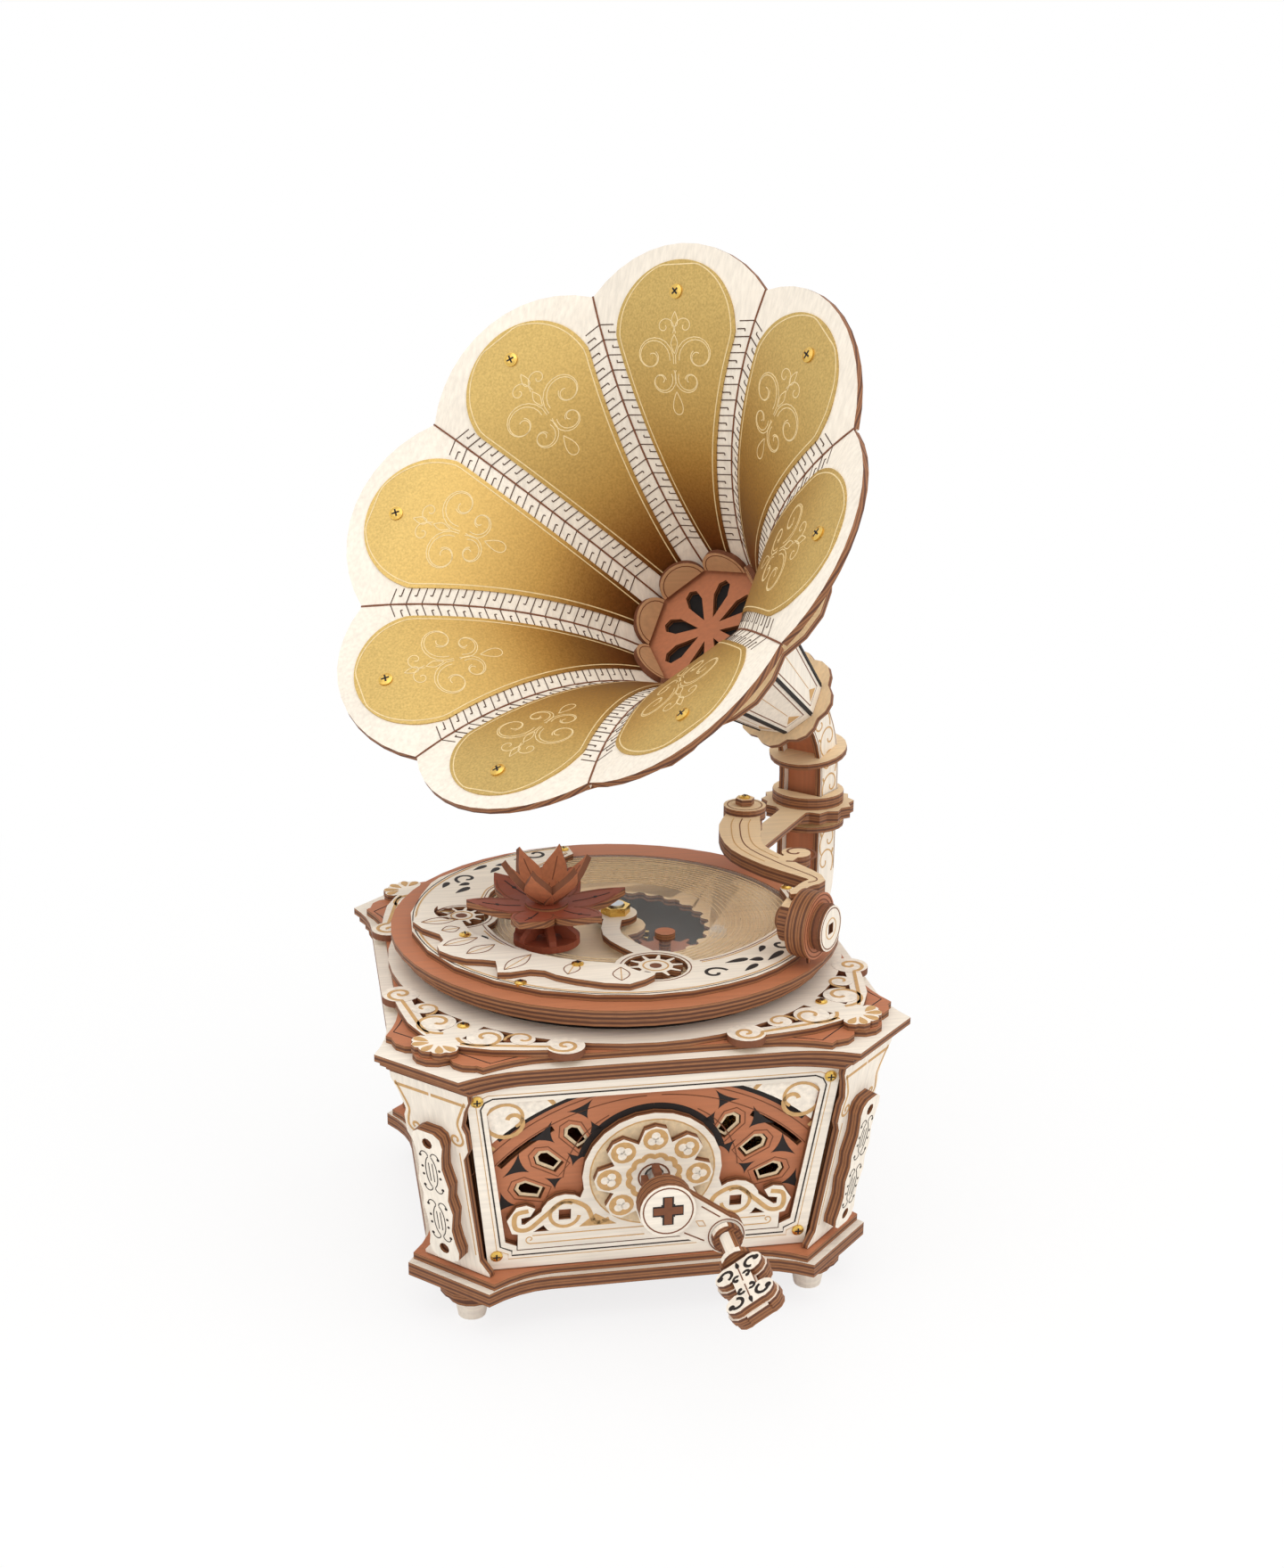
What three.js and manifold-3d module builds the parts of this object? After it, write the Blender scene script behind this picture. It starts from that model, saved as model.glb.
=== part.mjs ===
// A plywood gramophone that plays a disc: a chamfered box with a crank, a geared platter and a petalled horn.
// Millimetres, +Z up. The origin is the centre of the underside of the base; the crank is on the -Y side.
import * as THREE from "three";
import { mergeVertices } from "three/addons/utils/BufferGeometryUtils.js";
import Module from "manifold-3d";

const wasm = await Module();
wasm.setup();

// Sheets, clearances and cutting
const ply = 2; // every plywood sheet
const gap = 0.3; // between pieces that don't touch
const runningGap = 0.6; // between pieces that turn past each other
const farAway = 400; // size of a cutting block
const rightAngle = Math.PI / 2;
const fullTurn = Math.PI * 2;
const degree = Math.PI / 180;

// Box: chamfered plates with small ears, and walls that lean outwards
const baseHalf = 60; // from the centre to a straight side of the base plate
const baseEar = 6.4; // how far the ears stand out past that side
const baseCut = 20.5; // chamfer, along each side from the ear's corner
const lidHalf = 70;
const lidEar = 4.4;
const lidCut = 20.4;
const earRun = 18; // length of the curve that leads to an ear
const stepInset = 1.6; // base step, inside the base plate
const lidUnderInset = 3.2; // lowest lid sheet, inside the lid plate
const lidMiddleInset = 1.5;
const lidPanelInset = 3.6;
const wallHeight = 60.5; // from the base step to the lowest lid sheet
const wallFoot = 55.5; // from the centre to the back of a wall's frame, at its foot
const wallHead = 64.4; // the same at its head
const footHeight = 12;
const footRadius = 9;
const footCentre = 49; // from the centre, along X and Y

// Wall panels
const frameFootHalf = 45; // half width of a frame at its foot
const frameHeadHalf = 51.5;
const frameSide = 5.2; // width of a frame's sides
const frameFootRail = 6.5;
const frameHeadRail = 5;
const frameNotch = 3.2; // stepped corners of a frame's opening
const bossRadius = 19.5;
const bossHeight = 29.5; // height of the boss and of the crank above the base step
const rosetteRadius = 12; // circle on which the rosette's lobes stand
const rosetteLobe = 4.6;
const rosetteLobes = 8;
const archRadius = 63; // outer edge of the fretwork's fan
const archBand = 5.5;
const archSlot = 1.8;
const fanDrop = 17; // the fan's windows stand round a point this far under the boss
const windowRing = 36; // circle on which they stand
const windowLength = 8.4;
const windowWidth = 5.6;
const scrollWidth = 4;
const scrollBar = 6; // height of the bar along the foot of the scroll
const humpRadius = 6.8;
const humpHole = 1.7; // half width of the square hole in a hump

// Corner pilasters
const pilasterOffset = 0.7; // between a pilaster's plate and the frames beside it
const capitalHalf = 13.4;
const capitalHeight = 11;
const shaftHalf = 8.6;
const pilasterFootHalf = 11.5;
const pilasterFootHeight = 5;
const pilasterCoreHalf = 6.2;
const pilasterCoreDepth = 5;
const plaqueHalf = 5.2;
const plaqueLength = 43;
const plaqueFoot = 5.5; // from the base step to the plaque
const plaqueHole = 1.7;

// Lid ornament
const ornamentRadius = 67;
const palmetteReach = 82.5; // from the centre to the middle of a palmette, along the diagonal
const palmetteLobe = 3.3;
const scrollReach = 63.4; // end of a scroll, along the diagonal
const scrollSpread = 28.6; // and across it
const armScrollWidth = 4.6;
const scrollCurl = 4.4;
const panelLobe = 6.2;

// Platter, its gears and the flower
const lidGap = 3; // air between the lid ornament and the platter
const underRingRadius = 63;
const underRingBore = 59.4;
const deckRadius = 64.4;
const platterRadius = 66;
const recordRadius = 55.3;
const crescentRadius = 60.6;
const spindleRadius = 2.5;
const spindleShoulder = 3.4;
const gearModule = 1.5; // pitch diameter over teeth, for every spur gear
const pressureAngle = 20 * degree;
const toothHeadShare = 0.8; // tooth heads, in modules
const toothRootShare = 1.3; // tooth roots, in modules
const backlashShare = 0.2; // play between meshed teeth, as a share of the tooth
const sunTeeth = 12;
const flowerTeeth = 24;
const gearATeeth = 15;
const gearBTeeth = 18;
const windowGearTeeth = 16;
const flowerAngle = -146.6 * degree; // direction of the flower from the spindle
const gearAAngle = 140.6 * degree; // direction of gear A from the flower
const windowGearAngle = -56.8 * degree; // direction of the window gear from the spindle
const gearBAngle = -107 * degree; // direction of gear B from the window gear
const axleRadius = 1.7;
const axleCap = 3;
const gearAHole = 8;
const gearBHole = 9;
const dialGap = 1.4; // between a cream gear and the edge of its hole
const dialTeeth = 10;
const holeRim = 2.6; // wood round a gear's hole
const windowOuter = 28;
const windowInner = 9;
const windowStart = -76 * degree;
const windowEnd = 108 * degree;
const windowTeeth = 14;
const windowTooth = 1.6;
const hubRadius = 6.4;
const spokeWidth = 5.4;
const nutRadius = 4.4;
const nutHeight = 2.4;
const stemSpread = 9.6; // reach of the flower's stem plates
const petalRoot = 95; // height at which the flower's petals meet
const petalLift = 3.4; // how far a petal's tip rises above its root
const petalReach = 23;
const petalHalf = 6.2;
const flowerPetals = 6;

// Crank and drive
const crankRadius = 19.2; // from the shaft to the handle
const crankAngle = -31.5 * degree; // direction of the handle, in the XZ plane
const crankPlane = 78; // inner face of the crank arm, from the centre along -Y
const crankHub = 7.6;
const crankPin = 5.4;
const crankWaist = 9;
const shaftRadius = 2.4;
const pegHalf = 1.6; // half width of the square peg that carries the arm
const handleAxle = 1.8;
const handleDisc = 4.2;
const handleNeck = 12; // between the handle's two discs
const paddleLength = 22;
const paddleHalf = 7.6;
const paddleTilt = 33 * degree;
const crownTeeth = 16; // on the crank shaft
const crownWheelTeeth = 24; // on the spindle
const crownPitch = 5; // along both pitch circles
const crownToothShare = 0.3; // tooth width, as a share of that pitch
const crownHead = 0.9; // tooth heads on the crank shaft, past the pitch circle
const crownDepth = 1.5; // how far the two sets of teeth pass into each other
const pinionTeeth = 10;
const cylinderTeeth = 20;
const governorTeeth = 10;
const cylinderAngle = -27 * degree; // direction of the cylinder from the crank shaft
const governorAngle = 66 * degree; // direction of the governor from the cylinder
const pinionPlane = 34; // middle of the movement's gears, from the centre along -Y
const movementFront = 31.5; // outer faces of the movement's two cheeks, from the centre along -Y
const movementBack = 4;
const cheek = 2.5; // thickness of a cheek and of the bed
const bearingRim = 4; // metal round a bearing
const drumRadius = 6.4;
const pinReach = 0.5; // how far the drum's pins stand out
const pinHalf = 0.4;
const pinRings = 4;
const pinsPerRing = 4;
const combTeeth = 10;
const combSlot = 0.7;
const combReach = 9; // free length of the comb's teeth
const combBed = 6; // depth of the comb's fixed end
const combGap = 0.8; // between the comb's tips and the pins
const vaneReach = 6.6;

// Neck, in the diagonal plane behind the box
const neckReach = 113; // from the centre to the neck's upright, along the diagonal
const neckFootBend = 22;
const neckFootLevel = 68; // height at which the foot's bend ends
const neckBendStart = 102; // height at which the neck starts to lean
const neckBend = 35.6;
const neckHalf = 8; // half width
const neckDepthHalf = 5.8;
const neckChannel = 2.6; // depth of the channels between the side plates
const neckRing = 13;
const neckRingLean = 12 * degree;
const collarLift = 8.1; // from the top of the lid to the neck's collar
const neckCollar = 12.4;
const bracketLift = 2; // from the collar to the bracket's serrated sheets
const bracketRadius = 14;
const bracketTooth = 1.6;
const bracketTeeth = 14;
const bracketTop = 12;
const spurWidth = 9;

// Tone arm, from its pivot to the sound box
const pivotX = 46.5;
const pivotY = 33;
const postRadius = 3;
const pivotPin = 1.7;
const armLift = 5.2; // from the bracket to the tone arm's underside
const armWidth = 9.4;
const pivotDisc = 6.6;
const pivotSeat = 5.6; // disc under the arm
const armCurl = 4.3;
const needleReach = 63.5; // from the spindle to the needle
const needleAngle = -41.6 * degree;
const soundBoxDrop = 4.2; // from the arm's underside to the centre of the sound box
const shieldRadius = 9.6;
const shieldHalf = 3;
const capRadius = 6.6;
const capDepth = 3.6;
const capHole = 1.5;
const bearingDisc = 6.4;
const bearingDepth = 3.4;
const boxAxle = 1.6;
const needleTip = 0.4;
const needleRoot = 1.2;

// Horn: the bell's seams follow one arc from the throat to the notches between the petals
const mouthX = -5.6;
const mouthY = 12.7;
const mouthZ = 201.1;
const hornAzimuth = -51.9 * degree;
const hornElevation = 36.6 * degree;
const hornRoll = 118.5 * degree; // direction of the first notch round the mouth
const hornPetals = 8;
const notchRadius = 82.8;
const throatRadius = 22.5;
const bellDepth = 66;
const bellTurn = 50 * degree; // how far a seam turns between the throat and a notch
const petalRise = 14.6; // from the line between two notches to the petal's tip
const seamGap = 0.25; // half of the gap between two petals
const backRingDepth = 17; // behind the notches
const backRingRadius = 71;
const backRingBump = 3.6;
const smallRingDepth = 44;
const smallRingRadius = 46;
const smallRingBump = 2.8;
const ribHalf = 1.2;
const ribDepth = 4.6;
const stemLength = 50;
const stemStart = 24;
const stemEnd = 13;
const stemWall = 2;
const stemRing = 15.6;
const stemRingBump = 1.8;
const grilleHub = 4;
const grilleOuter = 17;

// Finishes
const finish = (color, roughness, metalness) =>
  new THREE.MeshStandardMaterial({ color, roughness, metalness });
const cream = finish(0xefe2cb, 0.75, 0);
const tan = finish(0xd8b98c, 0.75, 0);
const terracotta = finish(0xb4684c, 0.75, 0);
const redBrown = finish(0x8b3f26, 0.75, 0);
const brass = finish(0xc9a24a, 0.3, 1);
const steel = finish(0xb8bcc0, 0.35, 1);
const acrylic = finish(0xe9eef0, 0.05, 0);

// Heights of the stacked sheets
const basePlateBottom = ply;
const baseStepBottom = basePlateBottom + ply;
const wallBottom = baseStepBottom + ply;
const lidBottom = wallBottom + wallHeight;
const lidMiddleBottom = lidBottom + ply;
const lidPlateBottom = lidMiddleBottom + ply;
const lidPanelBottom = lidPlateBottom + ply;
const ornamentBottom = lidPanelBottom + ply;
const ornamentTop = ornamentBottom + ply;
const underRingBottom = ornamentTop + lidGap;
const deckBottom = underRingBottom + ply;
const recordBottom = deckBottom + ply;
const crescentBottom = recordBottom + ply;
const leafBottom = crescentBottom + ply;
const gearBottom = deckBottom - runningGap - ply;
const collarBottom = ornamentTop + collarLift;
const bracketBottom = collarBottom + ply + bracketLift;
const bracketHeight = ply * 4;
const armUnderside = bracketBottom + bracketHeight + armLift;
const soundBoxMiddle = armUnderside - soundBoxDrop;
const shaftHeight = wallBottom + bossHeight;
const wallTilt = Math.atan2(wallHead - wallFoot, wallHeight);
const wallSlant = Math.hypot(wallHead - wallFoot, wallHeight);
const bossUp = bossHeight / Math.cos(wallTilt); // the boss's height along a wall

// Solids
const at = (x, y) => new THREE.Vector2(x, y);
const spot = (x, y, z) => new THREE.Vector3(x, y, z);

function solidOf(geometry) {
  const bare = geometry.index ? geometry.toNonIndexed() : geometry.clone();
  bare.deleteAttribute("normal");
  bare.deleteAttribute("uv");
  const merged = mergeVertices(bare, 1e-4);
  return new wasm.Manifold(
    new wasm.Mesh({
      numProp: 3,
      vertProperties: merged.attributes.position.array,
      triVerts: new Uint32Array(merged.index.array),
    }),
  );
}

function geometryOf(solid) {
  const mesh = solid.getMesh();
  const geometry = new THREE.BufferGeometry();
  geometry.setAttribute("position", new THREE.BufferAttribute(mesh.vertProperties, 3));
  geometry.setIndex(new THREE.BufferAttribute(mesh.triVerts, 1));
  return geometry;
}

function joined(...geometries) {
  let whole = solidOf(geometries[0]);
  for (const geometry of geometries.slice(1)) {
    whole = whole.add(solidOf(geometry));
  }
  return geometryOf(whole);
}

function trimmed(geometry, ...tools) {
  let rest = solidOf(geometry);
  for (const tool of tools) {
    rest = rest.subtract(solidOf(tool));
  }
  return geometryOf(rest);
}

// A solid through a row of frames, each of which places the same flat section.
function loft(section, frames) {
  const rows = frames.map(({ centre, across, up, wide = 1 }) =>
    section.map((p) => centre.clone().addScaledVector(across, p.x * wide).addScaledVector(up, p.y)),
  );
  const corners = [];
  const face = (a, b, c) => {
    if (a.distanceTo(b) && b.distanceTo(c) && c.distanceTo(a)) {
      corners.push(a, b, c);
    }
  };
  for (let i = 0; i + 1 < rows.length; i++) {
    section.forEach((_, j) => {
      const k = (j + 1) % section.length;
      face(rows[i][j], rows[i][k], rows[i + 1][k]);
      face(rows[i][j], rows[i + 1][k], rows[i + 1][j]);
    });
  }
  for (const [a, b, c] of THREE.ShapeUtils.triangulateShape(section, [])) {
    face(rows[0][a], rows[0][c], rows[0][b]);
    face(rows.at(-1)[a], rows.at(-1)[b], rows.at(-1)[c]);
  }
  let volume = 0;
  for (let i = 0; i < corners.length; i += 3) {
    volume += corners[i].dot(corners[i + 1].clone().cross(corners[i + 2]));
  }
  if (volume < 0) {
    corners.reverse();
  }
  return new THREE.BufferGeometry().setFromPoints(corners);
}

// Outlines
const polar = (radius, angle) => at(radius * Math.cos(angle), radius * Math.sin(angle));
const outline = (points) => new THREE.Shape(points);

function circlePoints(radius, sides = 24, x = 0, y = 0, turned = 0) {
  const points = [];
  for (let i = 0; i < sides; i++) {
    points.push(polar(radius, turned + (fullTurn * i) / sides).add(at(x, y)));
  }
  return points;
}

const circle = (...sizes) => outline(circlePoints(...sizes));

function rectangle(halfX, halfY, x = 0, y = 0) {
  return outline([
    at(x - halfX, y - halfY),
    at(x + halfX, y - halfY),
    at(x + halfX, y + halfY),
    at(x - halfX, y + halfY),
  ]);
}

function withHoles(shape, ...holes) {
  shape.holes.push(...holes);
  return shape;
}

// An outline from its right-hand half, mirrored.
const symmetric = (right) => outline([...right, ...right.map((p) => at(-p.x, p.y)).reverse()]);

// An outline whose radius follows a rule of the angle.
function wavyOutline(steps, radiusAt) {
  const points = [];
  for (let i = 0; i < steps; i++) {
    const angle = (fullTurn * i) / steps;
    points.push(polar(radiusAt(angle), angle));
  }
  return outline(points);
}

const bumps = (count, radius, height) =>
  wavyOutline(count * 4, (angle) => radius + height * Math.abs(Math.sin((count * angle) / 2)));

function sheet(shape, bottom = 0, thickness = ply) {
  const geometry = new THREE.ExtrudeGeometry(shape, { depth: thickness, bevelEnabled: false });
  return geometry.translate(0, 0, bottom);
}

const disc = (radius, bottom, thickness = ply, sides = 24, x = 0, y = 0) =>
  sheet(circle(radius, sides, x, y), bottom, thickness);

// A strip with pointed ends along a smooth line; its width follows the shares given.
function strip(points, width, steps = 14, widthShares = [1]) {
  const line = new THREE.SplineCurve(points);
  const halfAt = (share) => {
    const place = share * (widthShares.length - 1);
    const before = Math.floor(place);
    const mix = place - before;
    return (width / 2) * (widthShares[before] * (1 - mix) + widthShares[Math.ceil(place)] * mix);
  };
  const left = [];
  const right = [];
  for (let i = 0; i <= steps; i++) {
    const share = i / steps;
    const middle = line.getPoint(share);
    const way = line.getTangent(share);
    const side = at(-way.y, way.x).multiplyScalar(halfAt(share));
    left.push(middle.clone().add(side));
    right.push(middle.clone().sub(side));
  }
  const head = line.getPoint(1).addScaledVector(line.getTangent(1), halfAt(1));
  const tail = line.getPoint(0).addScaledVector(line.getTangent(0), -halfAt(0));
  return outline([tail, ...right, head, ...left.reverse()]);
}

// A square plate with chamfered corners and an ear at each end of each side.
function earedPlate(half, ear, cut) {
  const corner = half + ear - cut;
  const curveSteps = 4;
  const side = [];
  for (let i = 0; i <= curveSteps; i++) {
    const share = i / curveSteps;
    side.push(at(corner - earRun * (1 - share), -half - ear * share * share));
  }
  const mirrored = side.map((p) => at(-p.x, p.y)).reverse();
  const points = [];
  for (let turn = 0; turn < 4; turn++) {
    for (const p of [...mirrored, ...side]) {
      points.push(p.clone().rotateAround(at(0, 0), turn * rightAngle));
    }
  }
  return outline(points);
}

// Involute gear outline with thinned teeth; the first tooth points along the angle given.
function gearOutline(teeth, turned = 0, module = gearModule) {
  const pitch = (module * teeth) / 2;
  const head = pitch + module * toothHeadShare;
  const root = pitch - module * toothRootShare;
  const base = pitch * Math.cos(pressureAngle);
  const involute = (radius) => {
    const lean = Math.sqrt(Math.max(0, (radius / base) ** 2 - 1));
    return lean - Math.atan(lean);
  };
  const halfAtPitch = (fullTurn / teeth / 4) * (1 - backlashShare);
  const halfAt = (radius) => halfAtPitch + involute(pitch) - involute(radius);
  const points = [];
  for (let i = 0; i < teeth; i++) {
    const middle = turned + (fullTurn * i) / teeth;
    points.push(polar(root, middle - halfAt(root)));
    points.push(polar(head, middle - halfAt(head)));
    points.push(polar(head, middle + halfAt(head)));
    points.push(polar(root, middle + halfAt(root)));
  }
  return outline(points);
}

const pitchRadius = (teeth) => (gearModule * teeth) / 2;

// The turn of a second gear, so that its gap faces the first gear's tooth along the angle given.
function meshTurn(firstTeeth, firstTurn, angle, secondTeeth) {
  return angle + Math.PI + (fullTurn / 2 + (angle - firstTurn) * firstTeeth) / secondTeeth;
}

// A wheel with straight teeth of even width, for a right-angle mesh.
function peggedWheel(teeth, headAdd, rootAdd, turned) {
  const radius = (teeth * crownPitch) / fullTurn;
  const half = (crownPitch * crownToothShare) / 2;
  const root = radius - rootAdd;
  const head = radius + headAdd;
  const points = [];
  for (let i = 0; i < teeth; i++) {
    const middle = turned + (fullTurn * i) / teeth;
    points.push(polar(root, middle - half / root));
    points.push(polar(head, middle - half / head));
    points.push(polar(head, middle + half / head));
    points.push(polar(root, middle + half / root));
  }
  return outline(points);
}

// A round bar along Y.
function barY(radius, x, z, from, to, sides = 16) {
  const bar = new THREE.CylinderGeometry(radius, radius, Math.abs(to - from), sides);
  return bar.translate(x, (from + to) / 2, z);
}

// A sheet that stands square to Y, drawn in X and Z, from y = near towards -Y.
function sheetY(shape, near, thickness = ply) {
  return sheet(shape, 0, thickness).rotateX(rightAngle).translate(0, near, 0);
}

const music = new THREE.Group();

function add(name, geometry, material, group = music) {
  const mesh = new THREE.Mesh(geometry, material);
  mesh.name = name;
  group.add(mesh);
  return mesh;
}

// Base and feet
function base() {
  const plate = earedPlate(baseHalf, baseEar, baseCut);
  add("base_under", sheet(plate, 0), redBrown);
  add("base_plate", sheet(plate, basePlateBottom), cream);
  const step = withHoles(earedPlate(baseHalf - stepInset, baseEar, baseCut), spindleHole());
  add("base_step", sheet(step, baseStepBottom), terracotta);
  const names = ["foot_front_left", "foot_front_right", "foot_back_right", "foot_back_left"];
  names.forEach((name, i) => {
    const place = at(-footCentre, -footCentre).rotateAround(at(0, 0), i * rightAngle);
    add(name, foot(), redBrown).position.set(place.x, place.y, 0);
  });
}

function foot() {
  const profileShares = [
    [0, 1],
    [0.44, 1],
    [0.56, 0.5],
    [0.74, 0.5],
    [0.74, 0.27],
    [1, 0.27],
    [1, 0],
    [0, 0],
  ];
  const profile = profileShares.map(([r, h]) => at(r * footRadius, -h * footHeight));
  return new THREE.LatheGeometry(profile, 18).rotateX(rightAngle);
}

// The front wall's plane: x across, y up the slope, z outwards. The frame stands on it.
const wallMatrix = new THREE.Matrix4()
  .makeTranslation(0, -wallFoot, wallBottom)
  .multiply(new THREE.Matrix4().makeRotationX(rightAngle + wallTilt));

const blockAbove = (height) =>
  new THREE.BoxGeometry(farAway, farAway, farAway).translate(0, 0, height + farAway / 2);
const blockBelow = (height) =>
  new THREE.BoxGeometry(farAway, farAway, farAway).translate(0, 0, height - farAway / 2);
const betweenPlates = (geometry) =>
  trimmed(geometry, blockAbove(lidBottom - gap), blockBelow(wallBottom + gap));

const halfAtSlope = (height) =>
  frameFootHalf + ((frameHeadHalf - frameFootHalf) * height) / wallSlant;

function panelOutline(inset, low = -ply, high = wallSlant + ply) {
  return symmetric([at(halfAtSlope(low) - inset, low), at(halfAtSlope(high) - inset, high)]);
}

function openingOutline() {
  const low = frameFootRail;
  const high = wallSlant - frameHeadRail;
  const lowHalf = halfAtSlope(low) - frameSide;
  const highHalf = halfAtSlope(high) - frameSide;
  return symmetric([
    at(lowHalf - frameNotch, low),
    at(lowHalf - frameNotch, low + frameNotch / 2),
    at(lowHalf, low + frameNotch),
    at(highHalf, high - frameNotch),
    at(highHalf - frameNotch / 3, high - frameNotch / 3),
    at(highHalf - frameNotch, high),
  ]);
}

const frameSheet = () => sheet(withHoles(panelOutline(0), openingOutline()));

// One arched window of the fan, on the side given, with its long side along its ray.
function fanWindow(angle, side) {
  const shapeShares = [
    [-0.5, -0.35],
    [0.25, -0.5],
    [0.5, -0.2],
    [0.5, 0.2],
    [0.25, 0.5],
    [-0.5, 0.35],
  ];
  const middle = polar(windowRing, angle).add(at(0, bossUp - fanDrop));
  const points = shapeShares.map(([x, y]) =>
    at(x * windowLength, y * windowWidth).rotateAround(at(0, 0), angle).add(middle),
  );
  return outline(points.map((p) => at(side * p.x, p.y)));
}

// A slim curved slot under the fan's outer arch.
function fanSlot(side) {
  const middle = wallSlant - frameHeadRail / 2 - archRadius;
  const outer = archRadius - archBand;
  const inner = outer - archSlot;
  const from = 42 * degree;
  const to = 61 * degree;
  const steps = 5;
  const points = [];
  for (let i = 0; i <= steps; i++) {
    points.push(polar(outer, from + ((to - from) * i) / steps));
  }
  for (let i = steps; i >= 0; i--) {
    points.push(polar(inner, from + ((to - from) * i) / steps));
  }
  return outline(points.map((p) => at(side * p.x, p.y + middle)));
}

function fretSheet() {
  const shape = panelOutline(frameSide / 2);
  const rays = [20 * degree, 37 * degree, 54 * degree];
  for (const side of [-1, 1]) {
    for (const ray of rays) {
      withHoles(shape, fanWindow(ray, side));
    }
    withHoles(shape, fanSlot(side));
  }
  return sheet(shape, -ply);
}

// The scroll: a bar and a heart under the boss, and on each side a hump that runs out into a curl.
function scrollSheet() {
  const low = frameFootRail + gap;
  const high = frameFootRail + scrollBar;
  const rise = bossUp - high;
  const half = halfAtSlope(low) - frameSide - frameNotch - gap;
  const reach = halfAtSlope(high) - frameSide - scrollWidth / 2 - gap;
  const humpX = reach * 0.62;
  const humpY = high + rise * 0.3;
  const curlShares = [
    [0.62, 0.5],
    [0.76, 0.3],
    [0.88, 0.06],
    [0.97, 0.1],
    [0.97, 0.36],
    [0.88, 0.42],
  ];
  const heart = outline([
    at(-humpX, high - ply),
    at(humpX, high - ply),
    at(bossRadius * 0.9, bossUp),
    at(-bossRadius * 0.9, bossUp),
  ]);
  const pieces = [
    sheet(rectangle(half, (high - low) / 2, 0, (high + low) / 2)),
    sheet(heart),
    disc(bossRadius, 0, ply, 24, 0, bossUp),
  ];
  const holes = [];
  for (const side of [-1, 1]) {
    const line = curlShares.map(([x, y]) => at(side * x * reach, high + y * rise));
    pieces.push(sheet(strip(line, scrollWidth, 7)));
    pieces.push(disc(humpRadius, 0, ply, 16, side * humpX, humpY));
    holes.push(sheet(rectangle(humpHole, humpHole, side * humpX, humpY), -ply, ply * 3));
  }
  return trimmed(joined(...pieces), ...holes);
}

function rosetteSheet() {
  const steps = rosetteLobes * 4;
  const shape = wavyOutline(steps, (angle) => {
    const swing = Math.abs(Math.cos((rosetteLobes * angle) / 2));
    return rosetteRadius + rosetteLobe * Math.sqrt(swing);
  });
  return sheet(shape, ply).translate(0, bossUp, 0);
}

function walls() {
  const shaftBore = barY(shaftRadius + gap, 0, shaftHeight, 0, -farAway);
  const onWall = (geometry, lift = 0) => geometry.translate(0, 0, lift).applyMatrix4(wallMatrix);
  const fret = betweenPlates(onWall(fretSheet(), -gap));
  add("front_frame", betweenPlates(onWall(frameSheet())), cream);
  add("front_fretwork", trimmed(fret, shaftBore), terracotta);
  add("front_scroll", trimmed(onWall(scrollSheet()), shaftBore), cream);
  add("front_rosette", trimmed(onWall(rosetteSheet(), gap), shaftBore), cream);
  const layers = joined(frameSheet(), fretSheet(), scrollSheet(), rosetteSheet());
  const panel = betweenPlates(onWall(layers));
  ["right_panel", "back_panel", "left_panel"].forEach((name, i) => {
    add(name, panel.clone(), terracotta).rotation.z = (i + 1) * rightAngle;
  });
}

// Pilasters stand on the chamfered corners: x across, y up the slope, z outwards along the diagonal.
const cornerFoot = (frameFootHalf + wallFoot + ply) / Math.SQRT2 + pilasterOffset;
const cornerHead = (frameHeadHalf + wallHead + ply) / Math.SQRT2 + pilasterOffset;
const cornerTilt = Math.atan2(cornerHead - cornerFoot, wallHeight);
const cornerSlant = Math.hypot(cornerHead - cornerFoot, wallHeight);
const cornerMatrix = new THREE.Matrix4()
  .makeRotationZ(-rightAngle / 2)
  .multiply(new THREE.Matrix4().makeTranslation(0, -cornerFoot, wallBottom))
  .multiply(new THREE.Matrix4().makeRotationX(rightAngle + cornerTilt));

function pilasterOutline() {
  const neck = cornerSlant - capitalHeight;
  return symmetric([
    at(pilasterFootHalf, -ply),
    at(pilasterFootHalf, pilasterFootHeight / 3),
    at(shaftHalf, pilasterFootHeight),
    at(shaftHalf, neck - capitalHeight),
    at(shaftHalf + ply, neck - capitalHeight * 0.7),
    at(shaftHalf + ply, neck - capitalHeight * 0.2),
    at(shaftHalf + ply / 2, neck),
    at(capitalHalf - ply, neck + capitalHeight / 2),
    at(capitalHalf, cornerSlant - ply),
    at(capitalHalf, cornerSlant + ply),
  ]);
}

function plaqueSheet() {
  const waveShares = [
    [0.5, 0],
    [0.9, 0.03],
    [1, 0.09],
    [0.84, 0.17],
    [0.74, 0.26],
    [1, 0.4],
    [0.82, 0.5],
    [1, 0.6],
    [0.74, 0.74],
    [0.84, 0.83],
    [1, 0.91],
    [0.9, 0.97],
    [0.5, 1],
  ];
  const shape = symmetric(waveShares.map(([x, y]) => at(x * plaqueHalf, plaqueFoot + y * plaqueLength)));
  for (const share of [0.09, 0.91]) {
    withHoles(shape, circle(plaqueHole, 10, 0, plaqueFoot + share * plaqueLength));
  }
  return sheet(shape, ply, ply * 2);
}

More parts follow.
